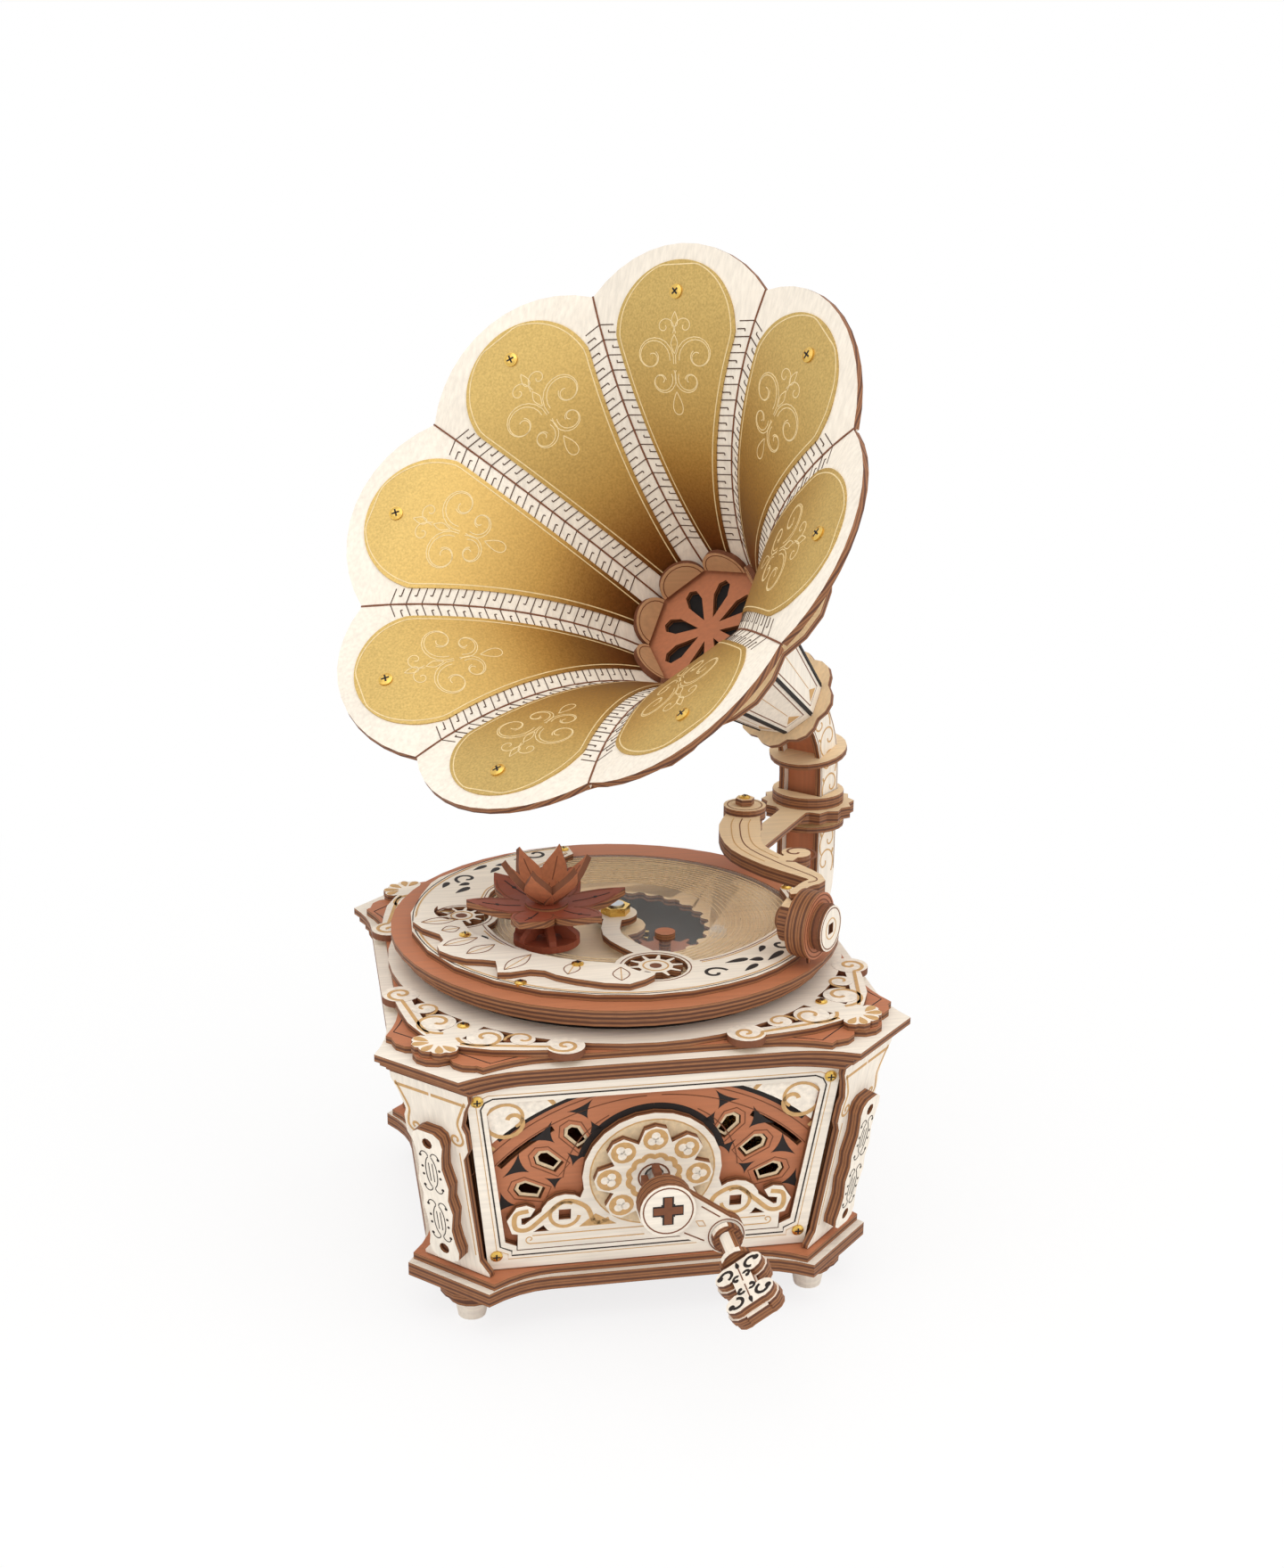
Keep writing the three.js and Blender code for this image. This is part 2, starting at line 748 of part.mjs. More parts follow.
function pilasters() {
  const plate = sheet(pilasterOutline());
  const core = sheet(rectangle(pilasterCoreHalf, wallSlant), -pilasterCoreDepth, pilasterCoreDepth);
  const plain = betweenPlates(joined(plate, core).applyMatrix4(cornerMatrix));
  const dressed = betweenPlates(joined(plate, core, plaqueSheet()).applyMatrix4(cornerMatrix));
  const names = ["pilaster_front_right", "pilaster_back_right", "pilaster_back_left", "pilaster_front_left"];
  names.forEach((name, i) => {
    const carriesNeck = name === "pilaster_back_right";
    add(name, (carriesNeck ? plain : dressed).clone(), cream).rotation.z = (i + 1) * rightAngle;
  });
}

// Lid
const spindleHole = () => circle(spindleRadius + gap, 16);

function lidSheet(inset, bottom, deeperCut = 0) {
  const plate = earedPlate(lidHalf - inset, lidEar, lidCut + deeperCut);
  return sheet(withHoles(plate, spindleHole()), bottom);
}

const onDiagonal = (turn, along, across) =>
  at(along, across).rotateAround(at(0, 0), (turn + 0.5) * rightAngle);

function lid() {
  const under = lidSheet(lidUnderInset, lidBottom);
  const middle = lidSheet(lidMiddleInset, lidMiddleBottom);
  add("lid_lower", joined(under, middle), terracotta);
  add("lid_plate", lidSheet(0, lidPlateBottom), cream);
  const lobes = [];
  for (let turn = 0; turn < 4; turn++) {
    for (const side of [-1, 0, 1]) {
      const reach = palmetteReach - Math.abs(side) * (panelLobe / 2);
      const place = onDiagonal(turn, reach, side * panelLobe * 1.6);
      lobes.push(disc(panelLobe, lidPanelBottom, ply, 12, place.x, place.y));
    }
  }
  const panel = lidSheet(lidPanelInset, lidPanelBottom, palmetteLobe);
  add("lid_panel", joined(panel, ...lobes), terracotta);
  add("lid_ornament", lidOrnament(), cream);
}

function lidOrnament() {
  const pieces = [disc(ornamentRadius, ornamentBottom, ply, 48)];
  for (let turn = 0; turn < 4; turn++) {
    for (const side of [-1, 1]) {
      const line = [
        onDiagonal(turn, palmetteReach - palmetteLobe, 0),
        onDiagonal(turn, (palmetteReach * 2 + scrollReach) / 3, (side * scrollSpread) / 2.6),
        onDiagonal(turn, (palmetteReach + scrollReach * 3) / 4, (side * scrollSpread) / 1.25),
        onDiagonal(turn, scrollReach, side * scrollSpread),
      ];
      pieces.push(sheet(strip(line, armScrollWidth, 5), ornamentBottom));
      pieces.push(disc(scrollCurl, ornamentBottom, ply, 12, line[3].x, line[3].y));
    }
    const stalk = [onDiagonal(turn, ornamentRadius - ply, 0), onDiagonal(turn, palmetteReach, 0)];
    pieces.push(sheet(strip(stalk, armScrollWidth * 1.6, 1), ornamentBottom));
    for (let lobe = -2; lobe <= 2; lobe++) {
      const angle = lobe * 42 * degree;
      const along = palmetteReach + palmetteLobe * 0.9 * Math.cos(angle);
      const place = onDiagonal(turn, along, palmetteLobe * 1.44 * Math.sin(angle));
      pieces.push(disc(palmetteLobe * 0.8, ornamentBottom, ply, 8, place.x, place.y));
    }
  }
  return trimmed(joined(...pieces), sheet(spindleHole(), ornamentBottom - ply, ply * 3));
}

// Gears under the platter
const flowerSpot = polar(pitchRadius(sunTeeth + flowerTeeth), flowerAngle);
const gearASpot = polar(pitchRadius(flowerTeeth + gearATeeth), gearAAngle).add(flowerSpot);
const windowGearSpot = polar(pitchRadius(sunTeeth + windowGearTeeth), windowGearAngle);
const gearBSpot = polar(pitchRadius(windowGearTeeth + gearBTeeth), gearBAngle).add(windowGearSpot);
const flowerTurn = meshTurn(sunTeeth, 0, flowerAngle, flowerTeeth);
const gearATurn = meshTurn(flowerTeeth, flowerTurn, gearAAngle, gearATeeth);
const windowGearTurn = meshTurn(sunTeeth, 0, windowGearAngle, windowGearTeeth);
const gearBTurn = meshTurn(windowGearTeeth, windowGearTurn, gearBAngle, gearBTeeth);
const dialBottom = crescentBottom + gap;

// A driven gear below the platter, its axle, and the small cream gear on top.
function dialGear(teeth, turned, hole) {
  const low = sheet(gearOutline(teeth, turned), gearBottom);
  const axle = disc(axleRadius, gearBottom, dialBottom + ply - gearBottom, 12);
  const dialModule = (hole - dialGap) / (dialTeeth / 2 + toothHeadShare);
  return joined(low, axle, sheet(gearOutline(dialTeeth, 0, dialModule), dialBottom));
}

function placed(mesh, point) {
  mesh.position.set(point.x, point.y, 0);
}

function gears() {
  const bossTop = gearBottom + ply / 2;
  const sunRoot = pitchRadius(sunTeeth) - gearModule * toothRootShare;
  const boss = disc(sunRoot, ornamentTop, bossTop - ornamentTop);
  const sun = joined(sheet(gearOutline(sunTeeth), gearBottom), boss);
  add("fixed_gear", trimmed(sun, disc(spindleRadius + gap, 0, farAway, 16)), brass);
  placed(add("gear_a", dialGear(gearATeeth, gearATurn, gearAHole), cream), gearASpot);
  placed(add("gear_b", dialGear(gearBTeeth, gearBTurn, gearBHole), cream), gearBSpot);
  const windowGear = joined(
    sheet(gearOutline(windowGearTeeth, windowGearTurn), gearBottom),
    disc(axleRadius, gearBottom, dialBottom + ply - gearBottom, 12),
    disc(axleCap, dialBottom, ply, 12),
  );
  placed(add("window_gear", windowGear, tan), windowGearSpot);
}

// Flower: crossed arches on an axle carry six pointed petals that cup upwards.
function flower() {
  const archBottom = dialBottom + ply / 2;
  const archTop = petalRoot - gap;
  const archShares = [
    [0.45, 0.28],
    [0.62, 0],
    [1, 0],
    [0.95, 0.3],
    [0.5, 0.72],
    [0.42, 1],
  ];
  const archAt = ([x, z]) => at(x * stemSpread, archBottom + z * (archTop - archBottom));
  const arch = symmetric(archShares.map(archAt));
  const plates = [0, 1, 2].map((i) => sheetY(arch, ply / 2).rotateZ(flowerAngle + (i * fullTurn) / 6));
  const stem = joined(
    sheet(gearOutline(flowerTeeth, flowerTurn), gearBottom),
    disc(axleRadius, gearBottom, archTop - gearBottom, 12),
    disc(stemSpread, dialBottom, ply, 24),
    ...plates,
  );
  placed(add("flower_stem", stem, redBrown), flowerSpot);
  const section = [at(-1, 0), at(1, 0), at(1, ply), at(-1, ply)];
  const leafShares = [
    [0, 0, 0.5],
    [0.25, 0.05, 0.85],
    [0.5, 0.22, 1],
    [0.72, 0.5, 0.8],
    [0.88, 0.78, 0.42],
    [1, 1, 0.04],
  ]; // along, up and half width
  const petals = [];
  for (let i = 0; i < flowerPetals; i++) {
    const angle = flowerAngle + (fullTurn * (i + 0.5)) / flowerPetals;
    const along = spot(Math.cos(angle), Math.sin(angle), 0);
    const across = spot(-Math.sin(angle), Math.cos(angle), 0);
    const frames = leafShares.map(([r, h, w]) => ({
      centre: along.clone().multiplyScalar(r * petalReach).setZ(petalRoot + h * petalLift),
      across,
      up: spot(0, 0, 1),
      wide: w * petalHalf,
    }));
    petals.push(loft(section, frames));
  }
  const heart = disc(petalHalf, petalRoot, ply * 1.5, 16);
  placed(add("flower_petals", joined(heart, ...petals), redBrown), flowerSpot);
}

// Platter: everything here turns with the spindle.
function windowOutline() {
  const angleAt = (share) => windowStart + (windowEnd - windowStart) * share;
  const steps = windowTeeth * 4;
  const innerSteps = 8;
  const points = [];
  for (let i = 0; i <= steps; i++) {
    points.push(polar(windowOuter - (i % 4 < 2 ? windowTooth : 0), angleAt(i / steps)));
  }
  for (let i = innerSteps; i >= 0; i--) {
    points.push(polar(windowInner, angleAt(i / innerSteps)));
  }
  return outline(points);
}

// A band whose outer and inner edges follow shares of the crescent's radius at angles in degrees.
function bandSheet(edgeShares, bottom) {
  const smooth = (points) => new THREE.SplineCurve(points).getPoints(points.length * 2);
  const outer = edgeShares.map(([angle, share]) => polar(share * crescentRadius, angle * degree));
  const inner = edgeShares.map(([angle, , share]) => polar(share * crescentRadius, angle * degree));
  return sheet(outline([...smooth(outer), ...smooth(inner.reverse())]), bottom);
}

const through = (radius, point) => disc(radius, 0, farAway, 24, point.x, point.y);

function crescentSheet() {
  const edgeShares = [
    [95, 0.985, 0.868],
    [111, 1, 0.74],
    [138, 1, 0.68],
    [151, 1, 0.666],
    [180, 1, 0.645],
    [210, 1, 0.64],
    [240, 1, 0.65],
    [270, 1, 0.665],
    [293, 1, 0.7],
    [311, 1, 0.73],
    [331, 1, 0.78],
    [346, 1, 0.827],
    [358, 1, 0.875],
    [373, 0.99, 0.9],
  ];
  const rims = [
    disc(gearAHole + holeRim, crescentBottom, ply, 24, gearASpot.x, gearASpot.y),
    disc(gearBHole + holeRim, crescentBottom, ply, 24, gearBSpot.x, gearBSpot.y),
    disc(hubRadius, crescentBottom),
  ];
  const rimPoint = gearBSpot.clone().setLength(gearBSpot.length() - gearBHole - holeRim / 2);
  const bow = at(rimPoint.y, -rimPoint.x).multiplyScalar(1 / 6).addScaledVector(rimPoint, 0.5);
  const spoke = sheet(strip([at(0, 0), bow, rimPoint], spokeWidth, 8), crescentBottom);
  return trimmed(
    joined(bandSheet(edgeShares, crescentBottom), ...rims, spoke),
    through(gearAHole, gearASpot),
    through(gearBHole, gearBSpot),
    through(stemSpread + runningGap, flowerSpot),
    sheet(spindleHole(), 0, farAway),
  );
}

function leafSheet() {
  const edgeShares = [
    [171, 0.92, 0.78],
    [184, 0.99, 0.76],
    [197, 0.9, 0.76],
    [204, 0.99, 0.74],
    [214, 0.96, 0.72],
    [222, 0.88, 0.71],
    [228, 0.98, 0.7],
    [236, 0.86, 0.7],
    [246, 0.9, 0.7],
    [263, 0.95, 0.72],
    [272, 0.86, 0.78],
  ];
  return trimmed(
    bandSheet(edgeShares, leafBottom),
    through(gearAHole, gearASpot),
    through(gearBHole, gearBSpot),
    through(stemSpread + runningGap, flowerSpot),
  );
}

function platter() {
  const underRing = withHoles(circle(underRingRadius, 48), circle(underRingBore, 48));
  add("under_ring", sheet(underRing, underRingBottom), redBrown);
  const axleHole = (point) => circle(axleRadius + gap, 12, point.x, point.y);
  const holes = () => [spindleHole(), axleHole(flowerSpot), axleHole(gearASpot), axleHole(gearBSpot)];
  add("deck", sheet(withHoles(circle(deckRadius, 48), ...holes(), windowOutline()), deckBottom), tan);
  const ring = withHoles(circle(platterRadius, 48), circle(recordRadius + gap, 48));
  add("platter_ring", sheet(ring, recordBottom), terracotta);
  const record = withHoles(circle(recordRadius, 48), ...holes(), axleHole(windowGearSpot));
  add("record", sheet(record, recordBottom), acrylic);
  add("crescent", crescentSheet(), cream);
  add("leaf_plate", leafSheet(), cream);
  add("spindle_nut", sheet(withHoles(circle(nutRadius, 6), spindleHole()), leafBottom, nutHeight), brass);
}

// Drive: crank shaft, crown gears, and the cylinder movement
const crownRadius = (crownTeeth * crownPitch) / fullTurn;
const crownWheelRadius = (crownWheelTeeth * crownPitch) / fullTurn;
const crownWheelBottom = shaftHeight + crownRadius + crownHead - crownDepth;
const cylinderSpot = polar(pitchRadius(pinionTeeth + cylinderTeeth), cylinderAngle).add(at(0, shaftHeight));
const governorSpot = polar(pitchRadius(cylinderTeeth + governorTeeth), governorAngle).add(cylinderSpot);
const cylinderTurn = meshTurn(pinionTeeth, 0, cylinderAngle, cylinderTeeth);
const governorTurn = meshTurn(cylinderTeeth, cylinderTurn, governorAngle, governorTeeth);
const crankFace = crankPlane + ply * 3; // outer face of the crank arm's hub

function crownGears() {
  const halfPitch = fullTurn / crownTeeth / 2;
  const wheel = peggedWheel(crownTeeth, crownHead, crownDepth, rightAngle + halfPitch);
  const onShaft = withHoles(wheel, circle(shaftRadius + gap, 16));
  add("crank_gear", sheetY(onShaft, ply / 2 - crownWheelRadius).translate(0, 0, shaftHeight), brass);
  const crown = peggedWheel(crownWheelTeeth, crownDepth, ply, -rightAngle);
  add("spindle_gear", sheet(withHoles(crown, spindleHole()), crownWheelBottom), brass);
}

function spindle() {
  const top = leafBottom + nutHeight + gap * 2;
  const profile = [
    at(0, baseStepBottom + gap),
    at(spindleRadius, baseStepBottom + gap),
    at(spindleRadius, wallBottom + gap),
    at(spindleShoulder, wallBottom + gap),
    at(spindleShoulder, crownWheelBottom - gap),
    at(spindleRadius, crownWheelBottom - gap),
    at(spindleRadius, top),
    at(0, top),
  ];
  add("spindle", new THREE.LatheGeometry(profile, 16).rotateX(rightAngle), steel);
}

function crankShaft() {
  const rod = barY(shaftRadius, 0, shaftHeight, -movementBack + gap, -crankPlane + gap);
  const pegShape = rectangle(pegHalf, pegHalf, 0, shaftHeight);
  const peg = sheetY(pegShape, ply - crankPlane, crankFace - crankPlane + ply);
  const pinion = sheetY(gearOutline(pinionTeeth), ply / 2 - pinionPlane).translate(0, 0, shaftHeight);
  add("crank_shaft", joined(rod, peg, pinion), steel);
}

const betweenCheeks = [-movementBack - cheek - runningGap, -movementFront + cheek + runningGap];
const movementAxle = () => barY(axleRadius, 0, 0, -movementBack, -pinionPlane - ply, 12);

function cylinder() {
  const [back, front] = betweenCheeks;
  const wheel = sheetY(gearOutline(cylinderTeeth, cylinderTurn), ply / 2 - pinionPlane);
  const drum = barY(drumRadius, 0, 0, back, front, 24);
  const pins = [];
  for (let ring = 0; ring < pinRings; ring++) {
    const y = back + ((front - back) * (ring + 0.5)) / pinRings;
    for (let i = 0; i < pinsPerRing; i++) {
      const pin = new THREE.BoxGeometry((drumRadius + pinReach) * 2, pinHalf * 2, pinHalf * 2);
      const turn = (i / pinsPerRing + ring * 0.38) * Math.PI;
      pins.push(pin.rotateY(turn).translate(0, y, 0));
    }
  }
  const mesh = add("cylinder", joined(movementAxle(), wheel, drum, ...pins), brass);
  mesh.position.set(cylinderSpot.x, 0, cylinderSpot.y);
}

function governor() {
  const [back, front] = betweenCheeks;
  const pinion = sheetY(gearOutline(governorTeeth, governorTurn), ply / 2 - pinionPlane);
  const vanes = [0, 1].map((i) => {
    const vane = new THREE.BoxGeometry(vaneReach * 2, (back - front) / 2, ply / 2);
    return vane.rotateY(i * rightAngle).translate(0, (front + back) / 2, 0);
  });
  const mesh = add("governor", joined(movementAxle(), pinion, ...vanes), brass);
  mesh.position.set(governorSpot.x, 0, governorSpot.y);
}

const combTip = cylinderSpot.x + drumRadius + pinReach + combGap;
const combEnd = combTip + combReach + combBed;

function cheekOutline() {
  const side = shaftRadius + bearingRim;
  const top = shaftHeight + side;
  const rim = axleRadius + bearingRim;
  const bedTop = wallBottom + cheek;
  const shape = outline([
    at(-side, wallBottom),
    at(combEnd, wallBottom),
    at(combEnd, bedTop + bearingRim),
    at(governorSpot.x + rim, bedTop + bearingRim * 2),
    at(governorSpot.x + rim, governorSpot.y + bearingRim),
    at(governorSpot.x - rim, governorSpot.y + bearingRim),
    at(governorSpot.x - rim, top - bearingRim),
    at(side, top),
    at(-side, top),
  ]);
  return withHoles(
    shape,
    circle(shaftRadius + gap, 16, 0, shaftHeight),
    circle(axleRadius + gap, 12, cylinderSpot.x, cylinderSpot.y),
    circle(axleRadius + gap, 12, governorSpot.x, governorSpot.y),
  );
}

function movement() {
  const left = -shaftRadius - bearingRim;
  const length = movementFront - movementBack;
  const middle = -(movementFront + movementBack) / 2;
  const bed = rectangle((combEnd - left) / 2, length / 2, (combEnd + left) / 2, middle);
  const seat = rectangle(combBed / 2, length / 2 - cheek / 2, combEnd - combBed / 2, middle);
  const combBottom = cylinderSpot.y - ply / 2;
  const bedplate = joined(
    sheet(bed, wallBottom, cheek),
    sheet(seat, wallBottom, combBottom - gap - wallBottom),
    sheetY(cheekOutline(), cheek - movementFront, cheek),
    sheetY(cheekOutline(), -movementBack, cheek),
  );
  add("movement_bedplate", bedplate, brass);
  const width = length - (cheek + runningGap) * 2;
  const plate = rectangle((combEnd - combTip) / 2, width / 2, (combEnd + combTip) / 2, middle);
  const slots = [];
  for (let i = 1; i < combTeeth; i++) {
    const y = middle - width / 2 + (width * i) / combTeeth;
    slots.push(sheet(rectangle(combReach, combSlot / 2, combTip, y), 0, farAway));
  }
  add("comb", trimmed(sheet(plate, combBottom), ...slots), steel);
}

// Crank arm and handle
const handleSpot = polar(crankRadius, crankAngle).add(at(0, shaftHeight));

function crank() {
  const hub = at(0, shaftHeight);
  const web = sheetY(strip([hub, handleSpot], crankWaist, 2, [1.4, 1.1]), -crankPlane, ply * 2);
  const hubDisc = sheetY(circle(crankHub, 24, hub.x, hub.y), -crankPlane, ply * 3);
  const pinDisc = sheetY(circle(crankPin, 20, handleSpot.x, handleSpot.y), -crankPlane, ply * 2);
  const pegHole = sheetY(rectangle(pegHalf + gap, pegHalf + gap, hub.x, hub.y), 0, farAway);
  const axleHole = barY(handleAxle + gap, handleSpot.x, handleSpot.y, 0, -farAway);
  add("crank_arm", trimmed(joined(web, hubDisc, pinDisc), pegHole, axleHole), cream);
}

function clover(scale, layers) {
  const lobe = paddleHalf * 0.52 * scale;
  const bottom = (-ply * layers) / 2;
  const pieces = [sheet(rectangle((paddleLength / 2) * scale, lobe * 0.8), bottom, ply * layers)];
  for (const x of [-1, 1]) {
    for (const y of [-1, 1]) {
      const place = at(x * (paddleLength / 2 - paddleHalf * 0.62), y * paddleHalf * 0.48);
      pieces.push(disc(lobe, bottom, ply * layers, 12, place.x, place.y));
    }
  }
  return joined(...pieces);
}

function handle() {
  const firstDisc = crankPlane + ply * 2 + gap;
  const secondDisc = firstDisc + ply + handleNeck;
  const paddleStart = secondDisc + ply;
  const onAxle = (radius, near, far, sides = 20) =>
    sheetY(circle(radius, sides, handleSpot.x, handleSpot.y), -near, far - near);
  const frame = new THREE.Matrix4().makeBasis(
    spot(0, -1, 0),
    spot(Math.cos(paddleTilt), 0, Math.sin(paddleTilt)),
    spot(-Math.sin(paddleTilt), 0, Math.cos(paddleTilt)),
  );
  frame.setPosition(handleSpot.x, -paddleStart - paddleLength / 2, handleSpot.y);
  const grip = joined(
    onAxle(handleDisc * 0.8, crankPlane - ply - gap, crankPlane - gap),
    onAxle(handleAxle, crankPlane - ply, paddleStart + ply * 2, 12),
    onAxle(handleDisc, firstDisc, firstDisc + ply),
    onAxle(handleDisc * 0.6, firstDisc, secondDisc + ply),
    onAxle(handleDisc * 1.2, secondDisc, secondDisc + ply),
    joined(clover(1, 1), clover(0.86, 3)).applyMatrix4(frame),
  );
  add("handle_grip", grip, cream);
}

// Horn: x and y across the mouth, z out of it
const mouthAxis = spot(
  Math.cos(hornElevation) * Math.sin(hornAzimuth),
  -Math.cos(hornElevation) * Math.cos(hornAzimuth),
  Math.sin(hornElevation),
);
const mouthAcross = spot(Math.cos(hornAzimuth), Math.sin(hornAzimuth), 0);
const mouthUp = mouthAxis.clone().cross(mouthAcross);
const horn = new THREE.Group();
horn.position.set(mouthX, mouthY, mouthZ);
horn.quaternion.setFromRotationMatrix(new THREE.Matrix4().makeBasis(mouthAcross, mouthUp, mouthAxis));
music.add(horn);

const sector = Math.PI / hornPetals; // half of one petal's share of the turn
const bellChord = Math.hypot(notchRadius - throatRadius, bellDepth);
const bellArc = bellChord / 2 / Math.sin(bellTurn / 2);
const rimSlope = Math.atan2(bellDepth, notchRadius - throatRadius) - bellTurn / 2;

// The seam's radius, depth and slope at a share of the way from a notch to the throat.
function seamAt(share) {
  const slope = rimSlope + bellTurn * share;
  return {
    radius: notchRadius - bellArc * (Math.sin(slope) - Math.sin(rimSlope)),
    depth: bellArc * (Math.cos(rimSlope) - Math.cos(slope)),
    slope,
  };
}

const shareAtDepth = (depth) =>
  (Math.acos(Math.cos(rimSlope) - depth / bellArc) - rimSlope) / bellTurn;

const seamCover = (ply + gap * 2) / Math.cos(sector); // from a seam's line to what lies behind the petals

function radiusBehind(depth) {
  const slope = seamAt(shareAtDepth(depth)).slope;
  const front = seamAt(shareAtDepth(depth - seamCover * Math.cos(slope)));
  return front.radius + seamCover * Math.sin(slope);
}

// A frame on the bell, in the plane through the horn's axis at the angle given.
function bellFrame(angle, radius, depth, slope, wide = 1) {
  const along = spot(Math.cos(angle), Math.sin(angle), 0);
  return {
    centre: along.clone().multiplyScalar(radius).setZ(-depth),
    across: spot(-Math.sin(angle), Math.cos(angle), 0),
    up: along.clone().multiplyScalar(Math.sin(slope)).setZ(-Math.cos(slope)),
    wide,
  };
}

function hornPetal(angle) {
  const section = [at(-1, 0), at(1, 0), at(1, ply), at(-1, ply)];
  const seamSteps = 10;
  const tipSteps = 6;
  const halfAt = (middle) => middle * Math.tan(sector) - seamGap / Math.cos(sector);
  const frames = [];
  for (let i = seamSteps; i >= 0; i--) {
    const seam = seamAt(i / seamSteps);
    const middle = seam.radius * Math.cos(sector);
    frames.push(bellFrame(angle, middle, seam.depth, seam.slope, halfAt(middle)));
  }
  const rim = notchRadius * Math.cos(sector);
  const rimHalf = halfAt(rim);
  const tipRadius = (rimHalf ** 2 + petalRise ** 2) / (petalRise * 2);
  const start = Math.asin(rimHalf / tipRadius);
  for (let i = 1; i <= tipSteps; i++) {
    const turn = start * (1 - i / tipSteps);
    const reach = tipRadius * Math.cos(turn) - (tipRadius - petalRise);
    const half = i < tipSteps ? tipRadius * Math.sin(turn) : 0;
    const radius = rim + reach * Math.cos(rimSlope);
    frames.push(bellFrame(angle, radius, -reach * Math.sin(rimSlope), rimSlope, half));
  }
  return loft(section, frames);
}

function hornRib(angle) {
  const outer = seamCover + ribDepth;
  const section = [at(-ribHalf, seamCover), at(ribHalf, seamCover), at(ribHalf, outer), at(-ribHalf, outer)];
  const first = shareAtDepth(backRingDepth - ribDepth);
  const steps = 8;
  const frames = [];
  for (let i = 0; i <= steps; i++) {
    const seam = seamAt(first + ((1 - first) * i) / steps);
    frames.push(bellFrame(angle, seam.radius, seam.depth, seam.slope));
  }
  return loft(section, frames);
}

const notchAngle = (i) => hornRoll - (fullTurn * i) / hornPetals;
const throatFront = bellDepth + ply * Math.cos(rimSlope + bellTurn) + gap;
const stemFront = throatFront + ply + gap;
const stemBack = stemFront + stemLength;

// A flat sheet across the horn, whose front is at the depth given.
const hornSheet = (shape, depth) => sheet(shape, -depth - ply);

function hornFrame() {
  const ring = (depth, radius, bump) => {
    const shape = withHoles(bumps(hornPetals * 2, radius, bump), circle(radiusBehind(depth), hornPetals));
    return hornSheet(shape, depth).rotateZ(hornRoll);
  };
  const ribs = [];
  for (let i = 0; i < hornPetals; i++) {
    ribs.push(hornRib(notchAngle(i)));
  }
  const bigRing = ring(backRingDepth, backRingRadius, backRingBump);
  const smallRing = ring(smallRingDepth, smallRingRadius, smallRingBump);
  add("horn_frame", joined(bigRing, smallRing, ...ribs), tan, horn);
}

function throat() {
  const shape = circle(stemStart, hornPetals);
  const slotShares = [
    [0, 0],
    [0.6, -0.2],
    [0.9, -0.16],
    [1, 0],
    [0.9, 0.16],
    [0.6, 0.2],
  ];
  const length = grilleOuter - grilleHub;
  for (let i = 0; i < hornPetals; i++) {
    const angle = (fullTurn * (i + 0.5)) / hornPetals;
    const points = slotShares.map(([x, y]) => at(grilleHub + x * length, y * length));
    withHoles(shape, outline(points.map((p) => p.rotateAround(at(0, 0), angle))));
  }
  add("throat_ring", hornSheet(shape, throatFront).rotateZ(hornRoll), terracotta, horn);
}

function hornStem() {
  const profile = [
    at(stemStart - stemWall, -stemFront),
    at(stemEnd - stemWall, -stemBack),
    at(stemEnd, -stemBack),
    at(stemStart, -stemFront),
    at(stemStart - stemWall, -stemFront),
  ];
  const cone = new THREE.LatheGeometry(profile, hornPetals).rotateX(rightAngle);
  const ring = withHoles(bumps(hornPetals, stemRing, stemRingBump), circle(stemEnd - stemWall, hornPetals));
  add("horn_stem", joined(cone, hornSheet(ring, stemBack - ply)).rotateZ(hornRoll), cream, horn);
}

function hornParts() {
  for (let i = 0; i < hornPetals; i++) {
    add("horn_petal_" + (i + 1), hornPetal(notchAngle(i) - sector), cream, horn);
  }
  hornFrame();
  throat();
  hornStem();
}

// Neck: one profile swept in the diagonal plane, from the back right pilaster to the horn's stem
const diagonal = spot(1, 1, 0).normalize();
const sideways = spot(-1, 1, 0).normalize();
const inPlane = (along, height) => diagonal.clone().multiplyScalar(along).setZ(height);

// How far the top bend leans where it meets the plane of the stem's end.
function leanAtStem() {
  const start = inPlane(neckReach - neckBend, neckBendStart);
  const left = mouthAxis.dot(horn.position.clone().sub(start)) - stemBack - gap;
  const along = mouthAxis.dot(diagonal);
  return Math.atan2(mouthAxis.z, along) - Math.acos(left / neckBend / Math.hypot(along, mouthAxis.z));
}

// A frame of the neck on an arc, or at a point when the radius is 0.
function neckFrame(along, height, lean, radius = 0) {
  const up = diagonal.clone().multiplyScalar(Math.cos(lean)).setZ(Math.sin(lean));
  return { centre: inPlane(along, height).addScaledVector(up, radius), across: sideways, up };
}

function neckSection() {
  const plate = neckHalf - ply;
  const web = neckDepthHalf - neckChannel;
  const right = [
    at(plate, -web),
    at(plate, -neckDepthHalf),
    at(neckHalf, -neckDepthHalf),
    at(neckHalf, neckDepthHalf),
    at(plate, neckDepthHalf),
    at(plate, web),
  ];
  return [...right, ...right.map((p) => at(-p.x, p.y)).reverse()];
}

